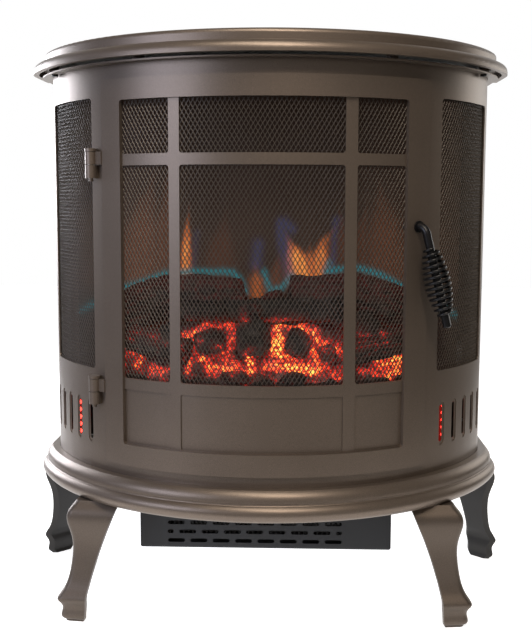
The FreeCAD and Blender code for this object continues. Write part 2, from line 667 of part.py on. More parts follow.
def make_grip():
    """Barrel-shaped envelope of the coiled grip, with the rod through it."""
    body = doc.addObject("PartDesign::Body", "handle_spring")
    outline = body.newObject("Sketcher::SketchObject", "grip_outline")
    outline.AttachmentSupport = [(origin_plane(body, "YZ_Plane"), "")]
    outline.MapMode = "FlatFace"
    inside, end = S.rod_radius + 0.02, 6.2
    middle = (GRIP_TOP + GRIP_END) / 2
    outline.addGeometry(Part.LineSegment(Vector(inside, GRIP_END, 0), Vector(end, GRIP_END, 0)))
    outline.addGeometry(Part.Arc(Vector(end, GRIP_END, 0), Vector(S.grip_radius, middle, 0),
                                 Vector(end, GRIP_TOP, 0)))
    outline.addGeometry(Part.LineSegment(Vector(end, GRIP_TOP, 0), Vector(inside, GRIP_TOP, 0)))
    outline.addGeometry(Part.LineSegment(Vector(inside, GRIP_TOP, 0), Vector(inside, GRIP_END, 0)))
    doc.recompute()
    turned = body.newObject("PartDesign::Revolution", "grip")
    turned.Profile = outline
    turned.ReferenceAxis = (outline, ["V_Axis"])
    turned.Angle = 360
    along_arm = Placement(Vector(0, -S.handle_reach, 0), Rotation(Vector(1, 0, 0), -arm_tilt()))
    body.Placement = handle_frame().multiply(along_arm)
    piece("handle_spring", body)


def make_latch():
    """Bush and wave washer in the stile; cam and nut on the shaft; keeper on the cabinet."""
    azimuth, height = S.handle_azimuth, S.handle_height
    inwards = outward(azimuth) * -1
    piece("handle_bush", tube("handle_bush", "5.8", "rod_radius + 0.08", "1.6",
                              on_front(azimuth, S.frame_outer + 1.7, height), inwards))
    piece("wave_washer", tube("wave_washer", "7.4", "rod_radius + 0.3", "1",
                              on_front(azimuth, S.frame_inner - 0.1, height), inwards))
    hub = Part.makeCylinder(7, 3, Vector(0, 7, 0), Vector(0, 1, 0))
    tongue = Part.makeBox(6, 3, 20, Vector(-3, 7, 0))
    tongue = tongue.makeFillet(2.5, [edge for edge in tongue.Edges if edge.BoundBox.ZMin > 19.9
                                     and edge.BoundBox.YLength > 2.9])
    tongue.rotate(Vector(0, 0, 0), Vector(0, 1, 0), 14.7 + S.handle_slant)
    bore = Part.makeCylinder(S.rod_radius, 6, Vector(0, 5, 0), Vector(0, 1, 0))
    cam = feature("latch_cam", hub.fuse(tongue).cut(bore).removeSplitter())
    cam.Placement = handle_frame()
    piece("latch_cam", cam)
    corners = [Vector(6.6 * math.cos(math.radians(60 * n)), 10.2, 6.6 * math.sin(math.radians(60 * n)))
               for n in range(6)]
    block = Part.Face(Part.makePolygon(corners + corners[:1])).extrude(Vector(0, 2.6, 0))
    nut = feature("handle_nut", block.cut(Part.makeCylinder(S.rod_radius, 5, Vector(0, 9, 0),
                                                            Vector(0, 1, 0))))
    nut.Placement = handle_frame()
    piece("handle_nut", nut)
    piece("latch_keeper", sector("latch_keeper", "-5.4", "-skin - 0.02", str(height - 8), str(height + 34),
                                 "opening_half + 0.4", "opening_half + 4"))


# ---- fire ----

# Each log: one end, the other end, and the radius at each.
LOGS = {
    "log_rear_left": ((-150, -27.8, 326.4), (-24, -27.8, 325.2), 27.5, 26),
    "log_rear_right": ((26, -27.8, 325), (150, -27.8, 324), 26.5, 25),
    "log_front": ((-66, -81.8, 282.4), (72, -83.8, 282.4), 19, 18),
    "log_front_left": ((-138, -61, 295), (-76, -84, 284), 15, 15),
    "log_front_right": ((84, -84, 284), (138, -61, 295), 14.5, 15),
    "log_cross": ((-14, -72, 320), (12, -16, 344), 11, 9),
}


def log_cone(name, start, end, first, second):
    run = Vector(*end) - Vector(*start)
    log = doc.addObject("Part::Cone", name)
    log.Radius1, log.Radius2, log.Height = first, second, run.Length
    log.Placement = Placement(Vector(*start), Rotation(Vector(0, 0, 1), run))
    return log


def make_fire():
    hollows = []
    for name, (start, end, first, second) in LOGS.items():
        piece(name, log_cone(name, start, end, first, second))
        hollows.append(log_cone(name + "_seat", start, end, first + 0.3, second + 0.3))
    drum = cylinder("bed_drum", "front_radius - 14", "80", Vector(0, S.arc_centre, S.floor_level + 2.1))
    low = box("bed_low", ("320", "118", "24"), (-160, -117, S.floor_level + 2.1))
    high = box("bed_high", ("320", "50", "60"), (-160, -52.5, S.floor_level + 2.1))
    bed = doc.addObject("Part::Common", "bed_heap")
    bed.Base, bed.Tool = fuse("bed_blocks", low, high), drum
    piece("ember_bed", cut("ember_bed", bed, *hollows))
    piece("flame_screen", box("flame_screen", ("410", "3", "roof_level - floor_level - 2.6"),
                              (-205, S.screen_front, S.floor_level + 2.3)))
    for name, level in (("firebox_floor", "floor_level"), ("firebox_roof", "roof_level")):
        body = new_body(name)
        pad(body, plan_sketch(body, name + "_plan", "tray_offset", "tray_back", level), name + "_pad", "2")
        piece(name, body)
    piece("ember_fascia", sector("ember_fascia", "-13.2", "-12", "shell_low + 0.2", "floor_level - 0.2",
                                 "-42", "42"))


ROTOR_DEPTH, ROTOR_LEVEL = 42, 266
VANE_PITCH, VANE_TURN = 16, 47
MIRROR_CUTS = 16
LAMP_COUNT, LAMP_PITCH = 10, 26
SIDE_STRIPS = {"left": -211, "right": 184}
SIDE_LAMP_COUNT, SIDE_LAMP_PITCH, SIDE_LAMP_START = 6, 8, 32


def make_flicker():
    """Foil rotor with its motor and bearing, and the cut mirror behind it."""
    axis, depth, level = Vector(1, 0, 0), ROTOR_DEPTH, ROTOR_LEVEL
    rod = Part.makeCylinder(2, 396, Vector(-198, depth, level), axis)
    vane = Part.makeBox(9, 0.8, 24, Vector(-4.5, -0.4, -12))
    vanes = [placed(vane, Vector(x, depth, level), VANE_TURN * n, axis)
             for n, x in enumerate(range(-176, 177, VANE_PITCH))]
    piece("flicker_rotor", feature("flicker_rotor", rod.multiFuse(vanes).removeSplitter()))
    post = box("rotor_post", ("6", "16", "40"), (-203, depth - 8, S.floor_level + 2.1))
    bore = cylinder("rotor_bearing_bore", "2.06", "20", Vector(-210, depth, level), axis)
    piece("rotor_bearing", cut("rotor_bearing", post, bore))
    can = cylinder("rotor_can", "14", "16", Vector(199.2, depth, level), axis)
    stand = box("rotor_stand", ("3", "30", "40"), (207, depth - 15, S.floor_level + 2.1))
    piece("rotor_motor", fuse("rotor_motor", can, stand))
    sheet = box("mirror_sheet", ("380", "0.8", "150"), (-190, 74, S.floor_level + 2.3))
    cuts = feature("mirror_cuts", Part.makeCompound(
        [placed(pill(9, 70 + 25 * math.sin(2.1 * n), 6), Vector(-165 + 22 * n, 71, 330), 12 * math.sin(n),
                Vector(0, 1, 0)) for n in range(MIRROR_CUTS)]))
    piece("flame_mirror", cut("flame_mirror", sheet, cuts))


def make_lamps():
    """Lamp strip below the embers, with an upright strip behind the vents at each side."""
    solids = [box("led_strip", ("260", "24", "1.6"), (-130, -70, 196))]
    solids += [cylinder(f"lamp_{n}", "2.5", "5", Vector(-117 + LAMP_PITCH * n, -58, 197.5))
               for n in range(LAMP_COUNT)]
    solids += [box(f"led_post_{n}", ("5", "5", "196 - shell_low - 0.1"), (x, -60, S.shell_low + 0.1))
               for n, x in enumerate((-125, 120))]
    for side, x in SIDE_STRIPS.items():
        solids.append(box(f"side_strip_{side}", ("14", "1.6", "76"), (x, -5, S.shell_low + 0.1)))
        for n in range(SIDE_LAMP_COUNT):
            at = Vector(x + 7, -4.8, S.shell_low + SIDE_LAMP_START + SIDE_LAMP_PITCH * n)
            solids.append(cylinder(f"side_lamp_{side}_{n}", "2.4", "2.6", at, Vector(0, -1, 0)))
    piece("led_board", fuse("led_board", *solids))


# ---- fan heater ----

SLOT_WIDTH, SLOT_LENGTH, SLOT_PITCH = 4.2, 18.2, 24
SLOT_LEFT, SLOT_END = -95.2, 5.8
# Rows of slots: height, number of slots, and shift to the right
SLOT_ROWS = ((91.4, 8, 0), (81.6, 7, SLOT_PITCH / 2), (71.8, 8, 0))


def heater_slots():
    """Three rows of level slots in the heater box's face, with a short slot at each middle end."""
    def slot(length, x, height):
        return placed(pill(SLOT_WIDTH, length, 8), Vector(x, S.housing_front - 4, height), 90,
                      Vector(0, 1, 0))

    shapes = [slot(SLOT_LENGTH, SLOT_LEFT + shift + n * SLOT_PITCH, height)
              for height, count, shift in SLOT_ROWS for n in range(count)]
    middle = SLOT_ROWS[1][0]
    shapes += [slot(6.4, x, middle) for x in (SLOT_LEFT - SLOT_PITCH / 2 + SLOT_END,
                                              SLOT_LEFT + 7.5 * SLOT_PITCH - SLOT_END)]
    return Part.makeCompound(shapes)


def make_heater():
    outside = box("housing_block", ("2 * housing_half", "housing_back - housing_front",
                                    "base_low - housing_low"), (-S.housing_half, S.housing_front,
                                                                S.housing_low))
    doc.recompute()
    soft = doc.addObject("Part::Fillet", "housing_soft")
    soft.Base = outside
    soft.Edges = [(n, 2.5, 2.5) for n, edge in enumerate(outside.Shape.Edges, 1)
                  if edge.BoundBox.ZMax < S.housing_low + 0.1 or edge.BoundBox.ZLength > 20]
    inside = box("housing_hollow", ("2 * housing_half - 3", "housing_back - housing_front - 3", "90"),
                 (-S.housing_half + 1.5, S.housing_front + 1.5, S.housing_low + 1.5))
    inlet = feature("housing_inlet", Part.makeCompound(
        [placed(pill(5, 40, 10), Vector(x, S.housing_back - 5, 92)) for x in range(-96, 97, 12)]))
    piece("heater_housing", cut("heater_housing", soft, inside, feature("housing_slots", heater_slots()),
                                inlet))
    frame = box("element_block", ("206", "16", "38"), (-114, S.housing_front + 14, 66))
    fins = feature("element_gaps", Part.makeCompound(
        [Part.makeBox(3.4, 20, 9, Vector(-108 + 5 * n, S.housing_front + 12, 69 + 12 * row))
         for row in range(3) for n in range(39)]))
    piece("heating_element", cut("heating_element", frame, fins))
    piece("thermal_cutout", fuse("thermal_cutout", cylinder("cutout_can", "8", "6", Vector(60, 2, 112)),
                                 box("cutout_tab", ("26", "6", "1"), (47, -1, 118))))
    make_fan()


def make_fan():
    """Cross-flow blower wheel between a motor and a bearing, on a bent-sheet cradle."""
    axis, depth, level = Vector(1, 0, 0), 48, 92
    blade = Part.makeBox(172, 0.8, 6, Vector(-98, -0.4, 13))
    discs = [Part.makeCylinder(20, 2, Vector(x, 0, 0), axis) for x in (-100, -14, 72)]
    blades = [placed(blade, Vector(0, 0, 0), 20 * n, axis) for n in range(18)]
    stubs = [Part.makeCylinder(2.5, 12, Vector(-111, 0, 0), axis),
             Part.makeCylinder(2.5, 12, Vector(73, 0, 0), axis)]
    wheel = discs[0].multiFuse(discs[1:] + blades + stubs).removeSplitter()
    wheel = placed(wheel, Vector(0, depth, level))
    piece("fan_impeller", feature("fan_impeller", wheel))
    floor = box("cradle_floor", ("196", "50", "1.5"), (-108, depth - 25, S.housing_low + 1.6))
    ends = [box(f"cradle_end_{n}", ("1.5", "50", "46"), (x, depth - 25, S.housing_low + 1.6))
            for n, x in enumerate((-108, 86.5))]
    holes = [cylinder(f"cradle_hole_{n}", "6", "8", Vector(x, depth, level), axis)
             for n, x in enumerate((-111, 83))]
    piece("fan_cradle", cut("fan_cradle", fuse("cradle_solid", floor, *ends), *holes))
    piece("fan_bearing", tube("fan_bearing", "5.9", "2.56", "6", Vector(-112, depth, level), axis))
    can = cylinder("fan_can", "17", "30", Vector(88.2, depth, level), axis)
    well = cylinder("fan_shaft_well", "3", "6", Vector(84, depth, level), axis)
    collar = cylinder("fan_collar", "5.8", "2.2", Vector(86, depth, level), axis)
    piece("fan_motor", cut("fan_motor", fuse("fan_motor_solid", can, collar), well))


# ---- controls on the back ----

SWITCHES = (("switch_power", 108), ("switch_flame", 130), ("switch_heat", 152))
SWITCH_HEIGHT = 492
KNOB_PLACE = (140, 468)


def rocker():
    """Rocker tilted to its off side, turning about X at the local origin."""
    curve = [Vector(0, 2.2, -7.5), Vector(0, 1, 0), Vector(0, 2.2, 7.5)]
    face = Part.Wire([Part.Arc(*curve).toShape(), Part.makePolygon(
        [curve[2], Vector(0, -3.2, 6.2), Vector(0, -3.2, -6.2), curve[0]])])
    solid = Part.Face(face).extrude(Vector(10, 0, 0))
    solid.translate(Vector(-5, 0, 0))
    return solid


def make_controls():
    back = S.back_plane
    plate = box("control_sheet", ("92", "1.6", "56"), (94, back + 0.1, 452))
    cuts = [box(f"switch_cut_{n}", ("13", "6", "19"), (x - 6.5, back - 2, SWITCH_HEIGHT - 9.5))
            for n, (_, x) in enumerate(SWITCHES)]
    stem_hole = cylinder("stem_hole", "3.4", "8", Vector(KNOB_PLACE[0] + 28, back - 2, KNOB_PLACE[1]),
                         Vector(0, 1, 0))
    piece("control_plate", cut("control_plate", plate, *cuts, stem_hole))
    frames = []
    for name, x in SWITCHES:
        rim = Part.makeBox(15, 2, 21, Vector(x - 7.5, back + 1.8, SWITCH_HEIGHT - 10.5))
        can = Part.makeBox(12.6, 12, 18.6, Vector(x - 6.3, back - 10, SWITCH_HEIGHT - 9.3))
        well = Part.makeBox(10.8, 12, 16.6, Vector(x - 5.4, back - 3, SWITCH_HEIGHT - 8.3))
        frames.append(rim.fuse(can).cut(well).removeSplitter())
        seat = Vector(x, back + 2.6, SWITCH_HEIGHT)
        piece(name, feature(name, placed(rocker(), seat, -6, Vector(1, 0, 0))))
    piece("switch_frames", feature("switch_frames", Part.makeCompound(frames)))
    at = Vector(KNOB_PLACE[0] + 28, back + 2.4, KNOB_PLACE[1])
    knob = cylinder("knob_skirt", "11", "11", at, Vector(0, 1, 0))
    grip = box("knob_bar", ("20", "5", "4"), (at.x - 10, at.y + 10.5, at.z - 2))
    stem = cylinder("knob_stem", "3", "14", Vector(at.x, back - 11, at.z), Vector(0, 1, 0))
    piece("thermostat_knob", fuse("thermostat_knob", knob, grip, stem))
    gland = Vector(180, back - 9, 205)
    back_way = Vector(0, 1, 0)
    body = cylinder("gland_body", "8", "20", gland, back_way)
    collar = cylinder("gland_collar", "11", "4", gland + Vector(0, 9.2, 0), back_way)
    bore = cylinder("gland_bore", "4.2", "20", gland, back_way)
    piece("cable_gland", cut("cable_gland", fuse("gland_solid", body, collar), bore))


def check_and_write():
    """Stop on any failed object, then write one file for each sub-part."""
    doc.recompute()
    for item in doc.Objects:
        if "Invalid" in item.State or "Error" in item.State:
            raise RuntimeError(f"{item.Label}: {item.State}")
    os.makedirs("parts", exist_ok=True)
    for name, item in pieces.items():
        shape = item.Shape
        if shape.isNull() or not shape.isValid() or not shape.Solids:
            raise RuntimeError(f"{name}: bad shape")
        shape.exportStep(f"parts/{name}.step")
    print(len(pieces), "sub-parts written")


make_lid()
make_cabinet()
make_back()
make_base()
make_legs()
make_door()
make_hinges()
make_handle_rod()
make_grip()
make_latch()
make_fire()
make_flicker()
make_lamps()
make_heater()
make_controls()
check_and_write()
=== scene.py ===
"""Looks of a bowed-front electric stove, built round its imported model.

Run as a script it makes every piece in order; the panel in the sidebar lists the same steps.
"""

import json
import math
import random

import bpy
import numpy as np
from bpy.props import FloatProperty, FloatVectorProperty, IntProperty, PointerProperty
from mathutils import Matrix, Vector, noise


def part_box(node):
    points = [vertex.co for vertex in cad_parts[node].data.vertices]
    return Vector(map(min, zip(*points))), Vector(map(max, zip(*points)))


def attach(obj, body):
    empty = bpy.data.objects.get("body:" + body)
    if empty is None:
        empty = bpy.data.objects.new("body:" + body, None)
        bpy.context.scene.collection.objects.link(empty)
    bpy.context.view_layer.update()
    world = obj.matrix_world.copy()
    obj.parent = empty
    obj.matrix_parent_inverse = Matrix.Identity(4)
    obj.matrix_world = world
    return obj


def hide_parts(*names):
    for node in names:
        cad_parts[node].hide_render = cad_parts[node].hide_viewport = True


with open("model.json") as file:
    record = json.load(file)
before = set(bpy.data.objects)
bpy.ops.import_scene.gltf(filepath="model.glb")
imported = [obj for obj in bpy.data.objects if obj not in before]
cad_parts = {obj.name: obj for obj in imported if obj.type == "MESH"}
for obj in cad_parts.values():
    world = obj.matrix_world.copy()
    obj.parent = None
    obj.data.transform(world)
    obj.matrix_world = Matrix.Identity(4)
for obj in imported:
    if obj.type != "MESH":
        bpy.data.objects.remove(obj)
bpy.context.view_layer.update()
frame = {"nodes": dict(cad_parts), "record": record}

bl_info = {
    "name": "Bowed Stove Looks",
    "version": (1, 0, 0),
    "blender": (4, 5, 0),
    "location": "View3D > Sidebar > Stove",
    "description": "Finishes, open mesh, logs, embers, flames and studio for an electric stove",
    "category": "Object",
}

MM = 0.001
# Vector noise starts from the clock unless it's given a seed
noise.seed_set(5)


# ---- the stove's own geometry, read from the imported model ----

def points_of(node):
    """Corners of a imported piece's mesh, one row each."""
    vertices = frame["nodes"][node].data.vertices
    flat = np.zeros(3 * len(vertices))
    vertices.foreach_get("co", flat)
    return flat.reshape(-1, 3)


def bow_of(node):
    """Centre (x, y), mean radius, azimuth range and height range of a curved sheet."""
    points = points_of(node)
    x, y = points[:, 0], points[:, 1]
    answer = np.linalg.lstsq(np.c_[2 * x, 2 * y, np.ones(len(x))], x * x + y * y, rcond=None)[0]
    centre = answer[:2]
    radius = math.sqrt(answer[2] + centre @ centre)
    azimuth = np.arctan2(x - centre[0], centre[1] - y)
    return centre, radius, (azimuth.min(), azimuth.max()), (points[:, 2].min(), points[:, 2].max())


def rod_of(node):
    """Ends of a round rod's axis and its radius at each end."""
    points = points_of(node)
    middle = points.mean(axis=0)
    along = np.linalg.svd(points - middle, full_matrices=False)[2][0]
    along = along if along[np.abs(along).argmax()] > 0 else -along
    travel = (points - middle) @ along
    first, last = travel.min(), travel.max()
    ends, radii = [], []
    for level in (first, last):
        rim = points[np.abs(travel - level) < 0.02 * (last - first)]
        ends.append(rim.mean(axis=0))
        radii.append(np.linalg.norm(rim - ends[-1], axis=1).max())
    return Vector(ends[0]), Vector(ends[1]), radii[0], radii[1]


# ---- node trees ----

class Value:
    """A socket in a node tree. Arithmetic on it adds Math nodes."""

    def __init__(self, recipe, socket):
        self.recipe, self.socket = recipe, socket

    def maths(self, operation, *terms):
        return self.recipe.add("ShaderNodeMath", {"operation": operation}, dict(enumerate(terms)))

    def __add__(self, other):
        return self.maths("ADD", self, other)

    def __sub__(self, other):
        return self.maths("SUBTRACT", self, other)

    def __rsub__(self, other):
        return self.maths("SUBTRACT", other, self)

    def __mul__(self, other):
        return self.maths("MULTIPLY", self, other)

    __radd__, __rmul__ = __add__, __mul__

    def above(self, low, high):
        """0 below low and 1 above high, with a smooth step between."""
        sockets = {"Value": self, "From Min": low, "From Max": high}
        return self.recipe.add("ShaderNodeMapRange", {"interpolation_type": "SMOOTHSTEP"}, sockets)

    def part(self, axis):
        """One coordinate of a vector, by its axis letter."""
        return self.recipe.add("ShaderNodeSeparateXYZ", None, {"Vector": self}, axis)


class Recipe:
    """Builds the nodes of one material or world."""

    def __init__(self, tree):
        self.tree = tree
        tree.nodes.clear()

    def add(self, kind, settings=None, sockets=None, output=0):
        """A node of one type: its settings first, then its sockets' values or links."""
        node = self.tree.nodes.new(kind)
        for name, setting in (settings or {}).items():
            if name == "stops":
                self.stops(node.color_ramp, setting)
            else:
                setattr(node, name, setting)
        for name, given in (sockets or {}).items():
            if isinstance(given, Value):
                self.tree.links.new(given.socket, node.inputs[name])
            else:
                node.inputs[name].default_value = given
        return Value(self, node.outputs[output]) if node.outputs else None

    @staticmethod
    def stops(ramp, stops):
        while len(ramp.elements) > 1:
            ramp.elements.remove(ramp.elements[-1])
        for index, (place, colour) in enumerate(stops):
            element = ramp.elements[0] if index == 0 else ramp.elements.new(place)
            element.position, element.color = place, (*colour, 1)

    def place(self, stretch=(1, 1, 1)):
        """Where a point is on the stove, in metres, optionally stretched."""
        spot = self.add("ShaderNodeTexCoord", output="Object")
        return self.add("ShaderNodeVectorMath", {"operation": "MULTIPLY"}, {0: spot, 1: stretch})

    def noise(self, place, scale, detail=2.0, rough=0.5):
        sockets = {"Vector": place, "Scale": scale, "Detail": detail, "Roughness": rough}
        return self.add("ShaderNodeTexNoise", None, sockets, "Fac")

    def ramp(self, factor, stops):
        return self.add("ShaderNodeValToRGB", {"stops": stops}, {"Fac": factor})

    def mix(self, factor, first, second, blend="MIX"):
        settings = {"data_type": "RGBA", "blend_type": blend}
        first, second = (c if isinstance(c, Value) else (*c, 1) for c in (first, second))
        return self.add("ShaderNodeMix", settings, {0: factor, 6: first, 7: second}, 2)

    def attribute(self, name):
        return self.add("ShaderNodeAttribute", {"attribute_name": name}, None, "Fac")

    def bump(self, height, distance, strength=1.0):
        sockets = {"Height": height, "Distance": distance, "Strength": strength}
        return self.add("ShaderNodeBump", None, sockets)

    def surface(self, **sockets):
        """The one shader, with its sockets named in words, and the material's output."""
        named = {name.replace("_", " ").title().replace("Ior", "IOR"): given
                 for name, given in sockets.items()}
        shader = self.add("ShaderNodeBsdfPrincipled", None, named)
        self.add("ShaderNodeOutputMaterial", None, {"Surface": shader})


def material(name):
    made = bpy.data.materials.new(name)
    made.use_nodes = True
    return made, Recipe(made.node_tree)


def paint_nodes(made, *nodes):
    """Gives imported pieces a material, in every one of their slots."""
    for name in nodes:
        node = frame["nodes"][name]
        if not node.material_slots:
            node.data.materials.append(made)
        for held in node.material_slots:
            held.material = made


# ---- finishes ----

def satin_bronze(name, colour, roughness, metal=0.65, grain=0.00004):
    """Metallic paint: fine flake, faint cloudiness and a slight orange peel."""
    made, r = material(name)
    spot = r.place()
    flake = r.noise(spot, 2600, 1)
    cloud = r.noise(spot, 9, 3)
    tone = r.mix(flake.above(0.35, 0.72) * 0.55 + cloud * 0.3, [c * 0.72 for c in colour],
                 [min(1, c * 1.5) for c in colour])
    peel = r.noise(spot, 420, 2) + flake * 0.35
    r.surface(base_color=tone, metallic=metal, roughness=cloud * 0.12 + flake * 0.1 + roughness - 0.1,
              normal=r.bump(peel, grain, 0.5))
    return made


def plated_steel(name, colour, roughness):
    """Dull plated metal with fine drawing lines."""
    made, r = material(name)
    lines = r.noise(r.place((1, 1, 0.06)), 900, 2)
    tone = r.mix(lines, [c * 0.75 for c in colour], [min(1, c * 1.15) for c in colour])
    r.surface(base_color=tone, metallic=1.0, roughness=lines * 0.15 + roughness)
    return made


def sheet_paint(name, colour, roughness, metal=0.0):
    """Powder-coated sheet: fine pebble and a faintly cloudy tone."""
    made, r = material(name)
    spot = r.place()
    pebble = r.noise(spot, 700, 2)
    cloud = r.noise(spot, 12, 3)
    tone = r.mix(cloud, [c * 0.8 for c in colour], [min(1, c * 1.25) for c in colour])
    r.surface(base_color=tone, metallic=metal, roughness=cloud * 0.1 + roughness,
              normal=r.bump(pebble, 0.00006, 0.5))
    return made


def moulded_plastic(name, colour, roughness):
    """Spark-eroded plastic with a very fine grain."""
    made, r = material(name)
    spot = r.place()
    grain = r.noise(spot, 1500, 2)
    tone = r.mix(grain * 0.5, colour, [min(1, c * 1.6 + 0.004) for c in colour])
    r.surface(base_color=tone, roughness=grain * 0.12 + roughness, normal=r.bump(grain, 0.00003, 0.4))
    return made


def lamp_strip(name):
    """Dark boards whose lamps alone shine red, on the level strip and on the two upright ones."""
    made, r = material(name)
    _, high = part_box("led_board")
    level_top, upright_front = 0.1976, high.y - 0.0016
    spot = r.place()
    upright = spot.part("Y").above(-0.03, -0.029)
    on_upright = spot.part("Y").above(upright_front - 0.00005, upright_front - 0.0001)
    on_level = spot.part("Z").above(level_top + 0.0001, level_top + 0.0002)
    diode = on_upright * upright + on_level * (1 - upright)
    r.surface(base_color=r.mix(diode, (0.012, 0.03, 0.02), (1, 0.8, 0.7)), roughness=0.5,
              emission_color=r.mix(diode, (0.03, 0.0005, 0.0004), (1, 0.045, 0.03)), emission_strength=5.0)
    return made


GLOW_STOPS = [(0.0, (0, 0, 0)), (0.15, (0.03, 0.002, 0.0015)), (0.4, (0.3, 0.012, 0.009)),
              (0.62, (0.9, 0.045, 0.016)), (0.8, (1.0, 0.2, 0.03)), (0.95, (1.0, 0.55, 0.1))]


def charred_wood(name, char, ash, glow):
    """Charcoal with grey ash on its crowns, lighter there partly as real ash and partly as painted highlight,
    and live heat in its cracks.
    """
    made, r = material(name)
    spot = r.place()
    grain = r.noise(spot, 260, 4, 0.65)
    ash_spread = r.noise(spot, 55, 4, 0.7)
    speck = r.noise(spot, 560, 2).above(0.56, 0.72)
    # The crown value (upward faces on logs and lumps, raised lumps on the bed) lightens the ash and specks:
    # partly real ash, partly painted highlight.
    crown = r.attribute("crown")
    light = (ash_spread.above(0.46, 0.7) * 0.5 + speck * 0.6) * (crown * 0.85 + 0.15)
    tone = r.mix(light, r.mix(grain, [c * 0.35 for c in char], char), ash)
    flicker = r.noise(spot, 90, 3, 0.6)
    clot = r.noise(spot, 330, 2, 0.6).above(0.36, 0.62)
    heat = r.attribute("warmth") * (flicker * 1.1 + 0.42) * (clot * 0.7 + 0.42)
    r.surface(base_color=tone, roughness=0.78, specular_ior_level=0.35,
              normal=r.bump(grain, 0.0009, 0.8),
              emission_color=r.ramp(heat, GLOW_STOPS), emission_strength=glow)
    return made


def flame_sheet(name, colour, strength):
    """Frosted screen with the light of the flames on it."""
    made, r = material(name)
    spot = r.place()
    streak = r.noise(r.place((1, 1, 0.22)), 210, 3, 0.6)
    flame = r.attribute("blaze")
    body = r.ramp(flame * (streak * 0.8 + 0.55),
                  [(0, (0, 0, 0)), (0.3, (0.10, 0.026, 0.008)), (0.65, (0.55, 0.13, 0.025)),
                   (1.0, (1.0, 0.36, 0.07))])
    glow = r.mix(r.attribute("wash"), (0, 0, 0), colour)
    glow = r.mix(1.0, glow, body, "ADD")
    glow = r.mix(r.attribute("wisp"), glow, (0.05, 0.065, 0.17))
    glow = r.mix(r.attribute("rim"), glow, (0.015, 0.2, 0.235))
    r.surface(base_color=r.mix(r.noise(spot, 30, 2), (0.012, 0.008, 0.006), (0.02, 0.013, 0.01)),
              roughness=0.55, emission_color=glow, emission_strength=strength)
    return made


# ---- meshes ----

def shape(name, points, faces, made, body, slot, smooth=True, replaced=(), **values):
    """A mesh piece with its finish, body and point values. Its slot argument is not used."""
    mesh = bpy.data.meshes.new(name)
    mesh.from_pydata([tuple(p) for p in points], [], faces)
    mesh.validate()
    mesh.update()
    mesh.polygons.foreach_set("use_smooth", [smooth] * len(mesh.polygons))
    for value_name, numbers in values.items():
        mesh.attributes.new(value_name, "FLOAT", "POINT").data.foreach_set("value", numbers)
    mesh.materials.append(made)
    piece = bpy.data.objects.new(name, mesh)
    bpy.context.scene.collection.objects.link(piece)
    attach(piece, body)
    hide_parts(*replaced)
    return piece


def grid_faces(rows, columns, wrap=False, start=0):
    """Quads between rows of points, closed round each row if wrap is true."""
    span = columns if wrap else columns - 1
    faces = []
    for row in range(rows - 1):
        for column in range(span):
            beside = (column + 1) % columns
            low, high = start + row * columns, start + (row + 1) * columns
            faces.append((low + column, low + beside, high + beside, high + column))
    return faces


def expanded_metal(name, node, sizes, made, body):
    """Open expanded metal on the bow: staggered lozenges, each with a real hole."""
    centre, radius, (left, right), (bottom, top) = bow_of(node)
    half_wide, half_high = sizes.cell_width / 2, sizes.cell_height / 2
    hole = 1 - sizes.strand / half_wide
    columns = int((right - left) * radius / half_wide) - 1
    rows = int((top - bottom) / half_high) - 1
    middle, base = (left + right) / 2 * radius, (bottom + top) / 2
    corners, faces, index = [], [], {}

    def corner(across, up, depth):
        key = (round(across * 1e6), round(up * 1e6), round(depth * 1e6))
        if key not in index:
            index[key] = len(corners)
            angle, reach = (middle + across) / radius, radius + depth
            corners.append((centre[0] + reach * math.sin(angle), centre[1] - reach * math.cos(angle),
                            base + up))
        return index[key]

    front, back, tilt = sizes.sheet / 2, -sizes.sheet / 2, sizes.sheet * 0.45
    around = ((-1, 0, 0), (0, -1, -tilt), (1, 0, 0), (0, 1, tilt))
    for row in range(rows):
        for column in range(columns):
            if (row + column) % 2:
                continue
            across = (column - (columns - 1) / 2) * half_wide
            up = (row - (rows - 1) / 2) * half_high
            rings = [[corner(across + half_wide * reach * sx, up + half_high * reach * sz,
                             depth + (lean if reach < 1 else 0))
                      for sx, sz, lean in around]
                     for reach, depth in ((1, front), (hole, front), (hole, back), (1, back))]
            for inner, outer in zip(rings[1:], rings[:-1]):
                for side in range(4):
                    beside = (side + 1) % 4
                    faces.append((outer[side], outer[beside], inner[beside], inner[side]))
    return shape(name, corners, faces, made, body, "screen_mesh", False, (node,))


def coil(name, node, sizes, made, body):
    """Barrel-shaped coil of round wire that fills the grip's packed envelope."""
    start, end, _, _ = rod_of(node)
    points = points_of(node)
    along = (end - start).normalized()
    length = (end - start).length
    side = along.orthogonal().normalized()
    other = along.cross(side)
    away = points - np.array(start)
    travel = away @ np.array(along)
    reach = np.linalg.norm(away - np.outer(travel, np.array(along)), axis=1)
    widest, narrowest = reach.max(), reach[travel < 0.02 * length].max()
    wire = sizes.wire / 2
    turns = (length - 2 * wire) / sizes.coil_pitch
    steps, ring = int(turns * 34), 10
    middle = [start + along * (wire + (length - 2 * wire) * step / steps)
              + (side * math.cos(turns * math.tau * step / steps)
                 + other * math.sin(turns * math.tau * step / steps))
              * (narrowest + (widest - narrowest) * math.sin(math.pi * step / steps) ** 0.8 - wire)
              for step in range(steps + 1)]
    corners = []
    for step, point in enumerate(middle):
        heading = (middle[min(step + 1, steps)] - middle[max(step - 1, 0)]).normalized()
        outwards = (point - start - along * (point - start).dot(along)).normalized()
        across = heading.cross(outwards).normalized()
        corners += [point + (outwards * math.cos(math.tau * n / ring)
                             + across * math.sin(math.tau * n / ring)) * wire for n in range(ring)]
    faces = grid_faces(steps + 1, ring, True)
    faces += [tuple(range(ring))[::-1], tuple(range(len(corners) - ring, len(corners)))]
    return shape(name, corners, faces, made, body, "black_spring", True, (node,))


# ---- fire ----

# Width of a lump of charcoal on the logs, the blocks and the bed, in metres
LOG_CELL, BLOCK_CELL, BED_CELL = 0.013, 0.011, 0.017

